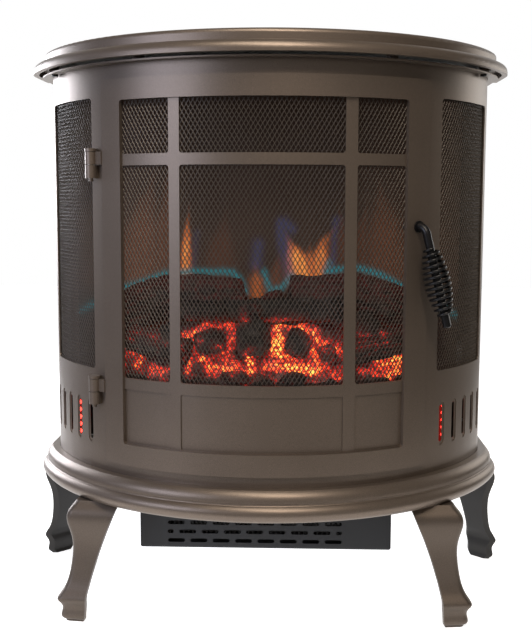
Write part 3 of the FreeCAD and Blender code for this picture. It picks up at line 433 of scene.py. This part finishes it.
def charcoal_depth(point, cell):
    """How deep a crack is at a point of charred wood: 0 on a crown and 1 in a crack."""
    near, next_one = noise.voronoi(point * (1 / cell))[0][:2]
    return math.exp(-(next_one - near) / 0.13)


# How some logs differ: how much the top is flattened, how far the middle line rises at shares of the
# length, and how far the far end's face leans
LOG_CUTS = {"log_rear_left": (0.2, ((0, -0.006), (0.35, 0.008), (1, 0.009)), 0.006),
            "log_rear_right": (0.1, ((0, 0.006), (0.55, 0.011), (1, -0.002)), 0.0),
            "log_cross": (0.1, ((0, 0.002), (1, -0.01)), 0.0)}
PLAIN_LOG = (0.05, ((0, 0), (1, 0)), 0.0)


def log_mesh(start, end, first, last, seed, cut, rows=150, columns=96):
    """Points, faces and crack depths of one charred log with split, uneven ends."""
    flat, rises, slant = cut
    along = end - start
    length = along.length
    along.normalize()
    side = along.cross(Vector((0, 0, 1))).normalized()
    up = side.cross(along)
    shift = Vector((seed * 3.1, seed * 1.7, seed * 2.3))
    points, cracks = [], []
    caps = 9
    for row in range(-caps, rows + caps + 1):
        share = min(max(row / rows, 0), 1)
        inset = 1.0 if 0 <= row <= rows else 1 - (-row if row < 0 else row - rows) / (caps + 0.4)
        for column in range(columns):
            angle = math.tau * column / columns
            ray = side * math.cos(angle) + up * math.sin(angle)
            radius = first + (last - first) * share
            on_bark = start + along * (length * share) + ray * radius + shift
            knobs = noise.noise(on_bark * 26)
            stretched = Vector((math.cos(angle) * 2.4, math.sin(angle) * 2.4, share * length * 16)) + shift
            furrow = max(0.0, 1 - abs(noise.noise(stretched)) * 3.2)
            crack = charcoal_depth(on_bark - along * (on_bark.dot(along) * 0.45), LOG_CELL)
            level = radius * (1 + 0.13 * knobs - 0.10 * furrow) - 0.0026 * crack
            level *= 1 - flat * max(0, math.sin(angle) - 0.5)
            end_wear = 0.2 * radius * noise.noise(ray * 1.7 + shift)
            place = start + along * (length * share) + ray * level * inset
            place.z += np.interp(share, *zip(*rises))
            if share > 0.7:
                place -= along * (slant * math.sin(angle) * inset * (share - 0.7) / 0.3)
            if share in (0, 1):
                lift = (1 - inset) * 0.12 * radius + 0.05 * radius * noise.noise(place * 90)
                place += along * ((1 if share else -1) * lift + end_wear)
                crack = max(crack * inset, 0.8 * math.exp(-abs(math.sin(inset * 16)) * 4))
            points.append(place)
            cracks.append(crack)
    total = rows + 2 * caps + 1
    faces = grid_faces(total, columns, True)
    faces += [tuple(range(columns)), tuple(range(len(points) - columns, len(points)))[::-1]]
    return points, faces, cracks


def crowns(points, faces):
    """How much each point faces up, from 0 to 1."""
    mesh = bpy.data.meshes.new("crown_test")
    mesh.from_pydata([tuple(p) for p in points], [], faces)
    mesh.update()
    facing = [min(1, max(0, vertex.normal.z * 0.9 + 0.25)) for vertex in mesh.vertices]
    bpy.data.meshes.remove(mesh)
    return facing


# The bed's front edge is an arc about a centre behind it. The section lists how far back and how high the
# bed is from that edge, in metres.
BED_CENTRE_Y, BED_RADIUS, BED_HALF_WIDTH = 0.1255, 0.2377, 0.16
BED_SECTION = ((0.0, 0.001), (0.004, 0.014), (0.016, 0.03), (0.03, 0.052), (0.044, 0.069), (0.06, 0.072),
               (0.085, 0.062), (0.108, 0.05))
# Paths of live heat over the front of the bed: (x, z) points in mm, half width in mm, heat
VEINS = (
    (((-81, 300), (-62, 311), (-36, 313), (-31, 300), (-38, 284)), 5.0, 0.66),
    (((-62, 302), (-64, 295)), 4.5, 0.86),
    (((-17, 327), (-19, 318), (-30, 309)), 4.2, 0.66),
    (((15, 318), (11, 303), (13, 288)), 6.0, 1.0),
    (((12, 314), (27, 318), (48, 306), (60, 296), (78, 290)), 6.0, 0.78),
    (((46, 302), (50, 286), (62, 270)), 6.5, 0.7),
    (((-13, 286), (-14, 268)), 5.0, 1.0),
    (((-80, 290), (-77, 268)), 5.5, 0.86),
    (((-68, 284), (-54, 270), (-30, 266)), 5.5, 0.66),
    (((-46, 289), (-34, 276), (-22, 268)), 6.5, 0.6),
    (((2, 272), (40, 270), (80, 268)), 6.0, 0.7),
    (((20, 282), (34, 274)), 5.5, 0.62),
    (((58, 292), (82, 284)), 6.0, 0.66),
    (((92, 296), (112, 286), (136, 270)), 13.0, 0.56),
    (((104, 279), (140, 280)), 3.4, 0.95),
    (((119, 304), (122, 294)), 5.5, 0.9),
    (((96, 268), (130, 264)), 5.0, 0.66),
    (((-132, 313), (-128, 305)), 5.0, 0.72),
    (((-137, 293), (-128, 284), (-131, 271)), 5.5, 0.72),
    (((-114, 300), (-99, 286)), 7.0, 0.56),
    (((-118, 268), (-92, 264)), 5.0, 0.56),
)
# Dark blocks on the bed, left by logs that burnt through: x, y, z, half width, depth and height, turn
BLOCKS = (
    (-54, -90, 295, 15, 15, 13, 0.5), (-11, -91, 298, 17, 15, 19, 0.12), (34, -89, 294, 13, 15, 14, -0.5),
    (64, -86, 282, 9, 13, 10, 0.3), (-95, -82, 300, 9, 12, 13, 0.3), (-28, -100, 261, 13, 9, 7, 0.4),
    (30, -101, 260, 14, 9, 6, -0.3), (102, -76, 308, 17, 12, 9, 0.2), (2, -56, 323, 46, 14, 12, 0.03),
    (-64, -60, 321, 30, 13, 9, -0.1), (66, -58, 322, 28, 13, 10, 0.1), (88, -70, 316, 22, 12, 8, -0.15),
)


def vein_heat(place):
    """Heat from the nearest vein at a place on the front of the bed."""
    wander = noise.noise_vector(place * 75) * 4.5 + noise.noise_vector(place * 230) * 2.2
    across = place.x / MM + wander.x
    height = place.z / MM + 0.13 * (place.y / MM + 95) + wander.z
    return along_paths(across, height, VEINS)


def segment_distance(x, z, first, last):
    """How far a place is from a straight line between two points."""
    run, rise = last[0] - first[0], last[1] - first[1]
    share = ((x - first[0]) * run + (z - first[1]) * rise) / (run * run + rise * rise)
    share = min(1, max(0, share))
    return math.hypot(x - first[0] - share * run, z - first[1] - share * rise)


def along_paths(x, z, paths):
    """Strength at a place of the strongest of several soft lines."""
    total = 0.0
    for path, half_width, power in paths:
        nearest = min(segment_distance(x, z, a, b) for a, b in zip(path[:-1], path[1:]))
        total = max(total, power * math.exp(-(nearest / half_width) ** 2))
    return total


def bed_front(x):
    """Y of the bed's front edge at a place across the stove."""
    return BED_CENTRE_Y - math.sqrt(BED_RADIUS ** 2 - x * x)


def ball_rays(rings, columns):
    """Directions from a ball's middle to its points, ring by ring from the top."""
    for ring in range(rings + 1):
        polar = math.pi * ring / rings
        for column in range(columns):
            angle = math.tau * column / columns
            yield Vector((math.sin(polar) * math.cos(angle), math.sin(polar) * math.sin(angle),
                          math.cos(polar)))


def ember_bank(name, made, step):
    """The glowing bed: a bank of lumps that rises from the front to the rear logs."""
    low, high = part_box("ember_bed")
    backs, rises = zip(*BED_SECTION)
    lengths = [0.0]
    for (y0, z0), (y1, z1) in zip(BED_SECTION[:-1], BED_SECTION[1:]):
        lengths.append(lengths[-1] + math.hypot(y1 - y0, z1 - z0))
    columns = int((high.x - low.x) / step)
    rows = int(lengths[-1] / step)
    outwards, foot_rows = Vector((0, -0.55, 0.8)), 6
    points, heats, crown = [], [], []
    for row in range(rows + 1):
        along = lengths[-1] * row / rows
        depth = np.interp(along, lengths, backs)
        rise = np.interp(along, lengths, rises)
        for column in range(columns + 1):
            x = low.x + (high.x - low.x) * column / columns
            front = bed_front(x)
            back = depth * min(1, (high.y - front) / backs[-1])
            taper = 1 - 0.35 * (abs(x) / BED_HALF_WIDTH) ** 3
            spot = Vector((x, front + back, low.z + rise * taper))
            lump = noise.noise(spot * 34)
            crack = charcoal_depth(spot + Vector((0, 0, 0.004 * lump)), BED_CELL)
            swell = 0.0045 * lump - 0.0042 * crack + 0.0008 * noise.noise(spot * 190)
            crown.append(1 - crack)
            heats.append(bed_heat(spot, crack))
            spot += outwards * swell * min(1, row / foot_rows)
            points.append(spot)
    faces = grid_faces(rows + 1, columns + 1)
    return shape(name, points, faces, made, "root", "embers", True, ("ember_bed",), warmth=heats, crown=crown)


def bed_heat(spot, crack):
    """Heat at a place on the bed: the veins, and a broad low glow that fades towards its crest."""
    glow = min(1, max(0, noise.noise(spot * 24 + Vector((5, 2, 8))) * 1.3 + 0.45))
    grit = 0.5 + 0.5 * noise.noise(spot * 330)
    crest, fade = 0.298, 0.014
    glow *= 1 - min(1, max(0, (spot.z - crest) / fade))
    return min(1, vein_heat(spot) * (0.62 + 0.6 * grit) + glow * (0.26 + 0.3 * crack) * (0.5 + grit))


def charred_blocks(name, made, replaced):
    """Blocks of a front log that has burnt through, with glowing gaps between them."""
    points, faces, heats = [], [], []
    rings, columns = 30, 44
    for number, (x, y, z, wide, deep, tall, turn) in enumerate(BLOCKS):
        start = len(points)
        shift = Vector((number * 2.7, number * 1.3, 4.1))
        for ray in ball_rays(rings, columns):
            boxy = Vector([math.copysign(abs(c) ** 0.62, c) for c in ray])
            boxy = Vector((boxy.x * math.cos(turn) - boxy.z * math.sin(turn), boxy.y,
                           boxy.x * math.sin(turn) + boxy.z * math.cos(turn)))
            spot = Vector((x + boxy.x * wide, y + boxy.y * deep, z + boxy.z * tall)) * MM
            crack = charcoal_depth(spot + shift, BLOCK_CELL)
            rough = noise.noise(spot * 75 + shift) * 0.0028 + noise.noise(spot * 260 + shift) * 0.0009
            spot += ray * (rough - 0.002 * crack)
            points.append(spot)
            below = max(0, -ray.z)
            beside = vein_heat(spot) * 0.7
            heats.append(min(1, beside * (0.35 + 0.65 * crack) + 0.4 * below * crack))
        faces += grid_faces(rings + 1, columns, True, start)
    return shape(name, points, faces, made, "root", "charred_log", True, replaced, warmth=heats,
                 crown=crowns(points, faces))


def clinker(name, made, count, seed):
    """Small lumps of charcoal along the foot of the bed."""
    draw = random.Random(seed)
    floor, half_span = 0.2415, 0.148
    points, faces, heats = [], [], []
    rings, columns = 7, 10
    for number in range(count):
        start = len(points)
        x = draw.uniform(-half_span, half_span)
        size = draw.uniform(0.0035, 0.0075)
        y = bed_front(x) + draw.uniform(0.001, 0.013)
        z = floor + size * 0.6 + draw.uniform(0, 0.008)
        shift = Vector((number, number * 0.37, 2))
        warm = draw.random() ** 3 * 0.5
        for ray in ball_rays(rings, columns):
            level = size * (1 + 0.35 * noise.noise(ray * 1.6 + shift) + 0.2 * noise.noise(ray * 4 + shift))
            points.append(Vector((x, y, z)) + Vector((ray.x * 1.25, ray.y, ray.z * 0.8)) * level)
            heats.append(warm * max(0, 0.4 - ray.z))
        faces += grid_faces(rings + 1, columns, True, start)
    return shape(name, points, faces, made, "root", "charred_log", False, (), warmth=heats,
                 crown=crowns(points, faces))


# Flames on the screen: foot (x, z), tip (x, z) and width in mm, strength
TONGUES = (
    ((-88, 352), (-85, 424), 15, 0.9), ((36, 350), (19, 399), 31, 1.0), ((54, 350), (70, 405), 27, 0.82),
    ((45, 350), (46, 388), 28, 0.72), ((-10, 332), (-13, 369), 24, 0.52), ((9, 336), (11, 382), 16, 0.26),
    ((-139, 345), (-124, 452), 52, 0.26), ((-112, 350), (-104, 470), 30, 0.2),
    ((128, 352), (120, 446), 50, 0.22), ((100, 360), (108, 430), 20, 0.14),
    ((-52, 356), (-44, 420), 34, 0.13), ((82, 360), (74, 430), 18, 0.16),
)
# Edge of the flame light along the top of the logs, and cool wisps beside the flames: (x, z) points and half
# width in mm, strength
RIMS = (
    (((-205, 314), (-154, 341), (-134, 347), (-110, 356), (-84, 358), (-37, 358), (-30, 350), (-24, 336)),
     3.8, 0.9),
    (((-3, 358), (3, 339), (16, 342), (27, 354)), 3.6, 0.75),
    (((63, 359), (85, 362), (98, 363), (117, 358), (150, 342), (205, 312)), 3.8, 0.9),
    (((64, 360), (66, 368)), 4.0, 0.6),
)
WISPS = (
    (((25, 352), (20, 386), (17, 412), (26, 404)), 5.0, 0.5), (((-10, 388), (-12, 366)), 6.0, 0.45),
    (((66, 360), (74, 400), (77, 414)), 4.5, 0.4), (((-82, 364), (-76, 400)), 4.0, 0.2),
)


def flame_picture(x, z):
    """Flame, rim, wisp and wash of light at a place on the screen in mm, each from 0 to 1."""
    slow = noise.noise(Vector((x * 0.045, z * 0.02, 3)))
    quick = noise.noise(Vector((x * 0.2, z * 0.13, 9)))
    flame = 0.0
    for foot, tip, width, strength in TONGUES:
        share = (z - foot[1]) / (tip[1] - foot[1])
        if not -0.3 < share < 1.2:
            continue
        up = min(1, max(0, share))
        half = width / 2 * (1 - up ** 1.6 * 0.86) * (0.86 + 0.2 * math.sin(3 * up + 0.6))
        middle = foot[0] + (tip[0] - foot[0]) * max(0, share) ** 2 + slow * 5 * up
        away = abs(x + quick * 1.6 - middle) / half
        fade = min(1, max(0, (1.15 - share) * 1.6)) * min(1, max(0, (share + 0.28) * 4))
        flame = max(flame, strength * fade / (1 + math.exp(min(50, (away - 0.85) * 4.2))))
    rim = along_paths(x + quick * 1.2, z + quick * 1.6 + slow * 1.2, RIMS)
    wisp = along_paths(x + slow * 6, z, WISPS)
    cloud = noise.noise(Vector((x * 0.02, z * 0.012, 5))) * 0.5 + 0.5
    lift = min(1, max(0, (z - 330) / 20)) * math.exp(-max(0, z - 400) / 70)
    at_left, at_right = min(1, max(0, (-x - 80) / 60)), min(1, max(0, (x - 90) / 50))
    wash = (0.3 + 0.35 * cloud + 0.5 * at_left + 0.2 * at_right) * lift
    return flame, min(1, rim), wisp, min(1, wash + 0.1)


def flame_screen(name, made, step):
    """Thin frosted sheet behind the logs, fine enough to carry the flame picture."""
    low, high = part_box("flame_screen")
    columns, rows = int((high.x - low.x) / step), int((high.z - low.z) / step)
    points, values = [], []
    for row in range(rows + 1):
        z = low.z + (high.z - low.z) * row / rows
        for column in range(columns + 1):
            x = low.x + (high.x - low.x) * column / columns
            points.append((x, low.y, z))
            values.append(flame_picture(x / MM, z / MM))
    faces = grid_faces(rows + 1, columns + 1)
    front = len(points)
    points += [(x, high.y, z) for x, _, z in points[:front]]
    faces += [tuple(front + corner for corner in face[::-1]) for face in faces]
    edge = [*range(columns), *(columns + n * (columns + 1) for n in range(rows)),
            *(rows * (columns + 1) + columns - n for n in range(columns)),
            *((rows - n) * (columns + 1) for n in range(rows))]
    faces += [(a, a + front, b + front, b) for a, b in zip(edge, edge[1:] + edge[:1])]
    flame, rims, wisp, wash = (list(v) + [0.0] * front for v in zip(*values))
    return shape(name, points, faces, made, "root", "flame_screen", True, ("flame_screen",),
                 blaze=flame, rim=rims, wisp=wisp, wash=wash)


# ---- settings ----

class StoveSizes(bpy.types.PropertyGroup):
    """Sizes of the mesh, the grip and the fire"""
    cell_width: FloatProperty(name="Cell width", description="Width of a lozenge of the mesh",
                              default=0.00448, unit="LENGTH")
    cell_height: FloatProperty(name="Cell height", description="Height of a lozenge of the mesh",
                               default=0.0075, unit="LENGTH")
    strand: FloatProperty(name="Strand", description="Width of the metal between two lozenges",
                          default=0.00042, unit="LENGTH")
    sheet: FloatProperty(name="Mesh sheet", description="Thickness of the expanded metal",
                         default=0.0007, unit="LENGTH")
    wire: FloatProperty(name="Grip wire", description="Diameter of the grip's wire",
                        default=0.0029, unit="LENGTH")
    coil_pitch: FloatProperty(name="Grip pitch", description="Distance between two turns of the grip",
                              default=0.0054, unit="LENGTH")
    ember_step: FloatProperty(name="Ember step", description="Distance between points of the ember bed",
                              default=0.0011, unit="LENGTH")
    flame_step: FloatProperty(name="Flame step", description="Distance between points of the flame screen",
                              default=0.0014, unit="LENGTH")
    clinker_count: IntProperty(name="Clinker", description="Number of small charcoal lumps", default=130)


def colour_setting(name, description, colour):
    return FloatVectorProperty(name=name, description=description, default=colour, subtype="COLOR", size=3,
                               min=0, max=1)


class StoveFinish(bpy.types.PropertyGroup):
    """Colours and glow of the finishes"""
    bronze: colour_setting("Bronze", "Satin metallic paint of the cabinet", (0.15, 0.119, 0.096))
    bronze_roughness: FloatProperty(name="Bronze roughness", description="Roughness of the cabinet's paint",
                                    default=0.38, subtype="FACTOR")
    mesh_bronze: colour_setting("Mesh bronze", "Paint of the expanded metal", (0.07, 0.058, 0.048))
    steel: colour_setting("Steel", "Plated fasteners and shafts", (0.32, 0.32, 0.33))
    spring_black: colour_setting("Spring black", "Coiled wire grip", (0.012, 0.012, 0.013))
    sheet_black: colour_setting("Sheet black", "Inner sheets and back", (0.012, 0.0115, 0.011))
    heater_blue: colour_setting("Heater blue", "Heater box under the base", (0.012, 0.0135, 0.017))
    char: colour_setting("Char", "Burnt wood", (0.03, 0.025, 0.022))
    # The ash colour is pale partly as real ash and partly as painted highlight on the logs.
    ash: colour_setting("Ash", "Ash on burnt wood", (0.32, 0.27, 0.235))
    ember_glow: FloatProperty(name="Ember glow", description="Strength of the embers' light", default=1.75)
    log_glow: FloatProperty(name="Log glow", description="Strength of the heat in the logs", default=1.7)
    screen_wash: colour_setting("Screen wash", "Dim light over the flame screen", (0.05, 0.024, 0.014))
    flame_glow: FloatProperty(name="Flame glow", description="Strength of the flames' light", default=0.8)


class StoveStudio(bpy.types.PropertyGroup):
    """Lights of the studio"""
    key_power: FloatProperty(name="Key", description="Power of the cool light at the left", default=13.0,
                             unit="POWER")
    back_power: FloatProperty(name="Back", description="Power of the cool light behind at the left",
                              default=20.0, unit="POWER")
    front_power: FloatProperty(name="Front", description="Power of the warm light high in front",
                               default=16.0, unit="POWER")
    top_power: FloatProperty(name="Top", description="Power of the warm light above", default=10.0,
                             unit="POWER")
    rim_power: FloatProperty(name="Rim", description="Power of the light at the right", default=4.0,
                             unit="POWER")
    room_level: FloatProperty(name="Room", description="Brightness of the room in front", default=0.34)


class Step(bpy.types.Operator):
    """Shared wording of the stove's steps"""
    bl_options = {"REGISTER", "UNDO"}


def settings_of(context):
    """The stove's sizes, finish and studio settings."""
    scene = context.scene
    return scene.stove_sizes, scene.stove_finish, scene.stove_studio


class STOVE_OT_cabinet(Step):
    """Paints the cabinet, lid, base, legs, door and hinges"""
    bl_idname = "stove.cabinet"
    bl_label = "Cabinet finish"

    def execute(self, context):
        _, finish, _ = settings_of(context)
        bronze = satin_bronze("satin_bronze", finish.bronze, finish.bronze_roughness)
        paint_nodes(bronze, *slot_nodes("bronze"))
        # The rear legs get a near-black copy of the bronze: painted shade for the shadow under the body.
        dark = satin_bronze("shadow_painted_rear_leg_bronze", [c * 0.05 for c in finish.bronze], 0.5, 0.2)
        paint_nodes(dark, "leg_rear_left", "leg_rear_right")
        # The front legs get a darker copy of the bronze: painted shade.
        shaded_front_leg_paint = satin_bronze("shaded_front_leg_bronze", [c * 0.6 for c in finish.bronze], 0.44)
        paint_nodes(shaded_front_leg_paint, "leg_front_left", "leg_front_right")
        return {"FINISHED"}


class STOVE_OT_hardware(Step):
    """Finishes the fasteners, inner sheets, motors, switches and heater box"""
    bl_idname = "stove.hardware"
    bl_label = "Hardware finish"

    def execute(self, context):
        _, finish, _ = settings_of(context)
        black_wire = sheet_paint("black_wire_paint", finish.spring_black, 0.3, 0.6)
        finishes = {
            "black_spring": black_wire,
            "steel": plated_steel("plated_steel", finish.steel, 0.38),
            "black_sheet": sheet_paint("black_sheet_paint", finish.sheet_black, 0.55),
            "blue_grey_sheet": sheet_paint("blue_grey_paint", finish.heater_blue, 0.6),
            "black_plastic": moulded_plastic("black_plastic", finish.sheet_black, 0.42),
            "ceramic": sheet_paint("cast_ceramic", (0.55, 0.53, 0.48), 0.8),
            "foil": plated_steel("mirror_foil", (0.85, 0.85, 0.87), 0.08),
        }
        for slot, made in finishes.items():
            paint_nodes(made, *slot_nodes(slot))
        paint_nodes(finishes["black_sheet"], "heating_element")
        paint_nodes(lamp_strip("lamp_strip"), *slot_nodes("lamp_board"))
        return {"FINISHED"}


class STOVE_OT_screens(Step):
    """Makes the open expanded metal of the door and both sides"""
    bl_idname = "stove.screens"
    bl_label = "Mesh screens"

    def execute(self, context):
        sizes, finish, _ = settings_of(context)
        paint = satin_bronze("mesh_bronze", finish.mesh_bronze, 0.45, 0.5)
        expanded_metal("door_open_mesh", "door_mesh", sizes, paint, "door")
        expanded_metal("side_open_mesh_left", "side_screen_left", sizes, paint, "root")
        expanded_metal("side_open_mesh_right", "side_screen_right", sizes, paint, "root")
        return {"FINISHED"}


class STOVE_OT_grip(Step):
    """Winds the coiled wire grip on the handle"""
    bl_idname = "stove.grip"
    bl_label = "Coiled grip"

    def execute(self, context):
        sizes, _, _ = settings_of(context)
        coil("coiled_grip", "handle_spring", sizes, bpy.data.materials["black_wire_paint"], "handle")
        return {"FINISHED"}


class STOVE_OT_logs(Step):
    """Carves the charred logs and the blocks of the burnt front log"""
    bl_idname = "stove.logs"
    bl_label = "Logs"

    def execute(self, context):
        _, finish, _ = settings_of(context)
        wood = charred_wood("charred_wood", finish.char, finish.ash, finish.log_glow)
        for seed, node in enumerate(n for n in slot_nodes("charred_log") if n != "log_front"):
            points, faces, cracks = log_mesh(*rod_of(node), seed + 1, LOG_CUTS.get(node, PLAIN_LOG))
            crown = crowns(points, faces)
            heat = [(0.3 + 0.7 * crack) * max(0, 0.36 - 1.1 * up) * (0.4 + vein_heat(p))
                    for crack, up, p in zip(cracks, crown, points)]
            shape(node + "_charred", points, faces, wood, "root", "charred_log", True, (node,), warmth=heat,
                  crown=crown)
        charred_blocks("log_front_blocks", wood, ("log_front",))
        return {"FINISHED"}


class STOVE_OT_embers(Step):
    """Heaps the glowing bed and its clinker"""
    bl_idname = "stove.embers"
    bl_label = "Embers"

    def execute(self, context):
        sizes, finish, _ = settings_of(context)
        ember = charred_wood("live_ember", finish.char, finish.ash, finish.ember_glow)
        ember_bank("ember_heap", ember, sizes.ember_step)
        clinker("clinker", ember, sizes.clinker_count, 11)
        return {"FINISHED"}


class STOVE_OT_flames(Step):
    """Lights the flame screen"""
    bl_idname = "stove.flames"
    bl_label = "Flames"

    def execute(self, context):
        sizes, finish, _ = settings_of(context)
        made = flame_sheet("flame_light", finish.screen_wash, finish.flame_glow)
        flame_screen("flame_picture_screen", made, sizes.flame_step)
        return {"FINISHED"}


# The camera's place in metres, its turn in degrees, and its lens and sensor width in mm
CAMERA_PLACE, CAMERA_TURN = (0.0337, -1.0910, 0.4350), (83.28, -0.18, 1.84)
CAMERA_LENS, CAMERA_SENSOR = 57.25, 36


class STOVE_OT_studio(Step):
    """Sets the floor, the room, the soft lights and the camera"""
    bl_idname = "stove.studio"
    bl_label = "Studio"

    def execute(self, context):
        _, _, studio = settings_of(context)
        scene = context.scene
        scene.view_settings.view_transform = "Standard"
        bpy.ops.mesh.primitive_plane_add(size=8, location=(0, 0, 0))
        floor = context.object
        floor.name = "floor"
        floor.data.materials.append(studio_floor("studio_floor"))
        room(scene, studio.room_level)
        for name, place, size, power, colour in (
                ("key_light", (-1.35, -1.2, 0.8), 1.0, studio.key_power, (0.74, 0.8, 1.0)),
                ("back_light", (-1.25, 0.95, 0.6), 0.8, studio.back_power, (0.9, 0.92, 1.0)),
                ("front_light", (0.25, -1.5, 1.75), 0.5, studio.front_power, (1.0, 0.86, 0.72)),
                ("top_light", (-0.05, -0.8, 1.7), 0.75, studio.top_power, (1.0, 0.9, 0.76)),
                ("rim_light", (1.4, 0.9, 0.6), 0.8, studio.rim_power, (1.0, 0.97, 0.92))):
            soft_light(scene, name, place, (0, 0, 0.35), size, power, colour)
        lens = bpy.data.cameras.new("camera")
        lens.lens, lens.sensor_width = CAMERA_LENS, CAMERA_SENSOR
        camera = bpy.data.objects.new("camera", lens)
        camera.location = CAMERA_PLACE
        camera.rotation_euler = [math.radians(angle) for angle in CAMERA_TURN]
        scene.collection.objects.link(camera)
        scene.camera = camera
        return {"FINISHED"}


def slot_nodes(slot):
    """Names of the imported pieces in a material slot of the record."""
    return [part["node"] for part in frame["record"]["subparts"] if part["material_slot"] == slot]


def soft_light(scene, name, place, aim, size, power, colour):
    """A round light that the camera doesn't see, aimed at a point."""
    data = bpy.data.lights.new(name, "AREA")
    data.shape, data.size, data.energy, data.color = "DISK", size, power, colour
    light = bpy.data.objects.new(name, data)
    light.location = place
    light.rotation_euler = (Vector(aim) - Vector(place)).to_track_quat("-Z", "Y").to_euler()
    light.visible_camera = False
    scene.collection.objects.link(light)


def studio_floor(name):
    """Floor that shines white under and behind the stove, and is dark round that."""
    made, r = material(name)
    spot = r.place()
    grain = r.noise(spot, 40, 3)
    across = spot.part("X").maths("ABSOLUTE", spot.part("X")) - (spot.part("Y") * 0.32 + 0.46)
    pale = spot.part("Y").above(-0.6, -0.27) * (1 - across.above(0, 0.4))
    dark = r.mix(grain, (0.075, 0.068, 0.06), (0.09, 0.081, 0.072))
    r.surface(base_color=r.mix(pale, dark, (0.88, 0.88, 0.88)), roughness=0.9,
              emission_color=r.mix(pale, (0, 0, 0), (1, 1, 1)), emission_strength=0.8)
    return made


def room(scene, level):
    """White straight behind the stove, cool and pale at its left, and dim and warm elsewhere."""
    scene.world = bpy.data.worlds.new("room")
    scene.world.use_nodes = True
    r = Recipe(scene.world.node_tree)
    way = r.add("ShaderNodeTexCoord", output="Generated")
    ahead = (way.part("Y") * -1).above(0.2, 0.9)
    leftward = (way.part("X") * -1).above(0.4, 0.95)
    colour = r.mix(ahead, (0.14, 0.13, 0.118), (level, level * 0.92, level * 0.82))
    colour = r.mix(leftward, colour, (0.2, 0.22, 0.28))
    colour = r.mix(way.part("Y").above(0.5, 0.85), colour, (1, 1, 1))
    ground = r.add("ShaderNodeBackground", None, {"Color": colour, "Strength": 1.0})
    r.add("ShaderNodeOutputWorld", None, {"Surface": ground})


STEPS = (STOVE_OT_cabinet, STOVE_OT_hardware, STOVE_OT_screens, STOVE_OT_grip, STOVE_OT_logs,
         STOVE_OT_embers, STOVE_OT_flames, STOVE_OT_studio)


class STOVE_PT_panel(bpy.types.Panel):
    """The stove's steps, in order"""
    bl_idname = "STOVE_PT_panel"
    bl_label = "Stove"
    bl_space_type = "VIEW_3D"
    bl_region_type = "UI"
    bl_category = "Stove"

    def draw(self, context):
        for step in STEPS:
            self.layout.operator(step.bl_idname)
        for group in settings_of(context):
            box = self.layout.box()
            for name in group.__annotations__:
                box.prop(group, name)


GROUPS = {"stove_sizes": StoveSizes, "stove_finish": StoveFinish, "stove_studio": StoveStudio}


def register():
    for made in (*GROUPS.values(), *STEPS, STOVE_PT_panel):
        bpy.utils.register_class(made)
    for name, group in GROUPS.items():
        setattr(bpy.types.Scene, name, PointerProperty(type=group))


def unregister():
    for name in GROUPS:
        delattr(bpy.types.Scene, name)
    for made in (STOVE_PT_panel, *reversed(STEPS), *reversed(list(GROUPS.values()))):
        bpy.utils.unregister_class(made)


def main():
    register()
    for step in STEPS:
        group, name = step.bl_idname.split(".")
        getattr(getattr(bpy.ops, group), name)()


if __name__ == "__main__":
    main()
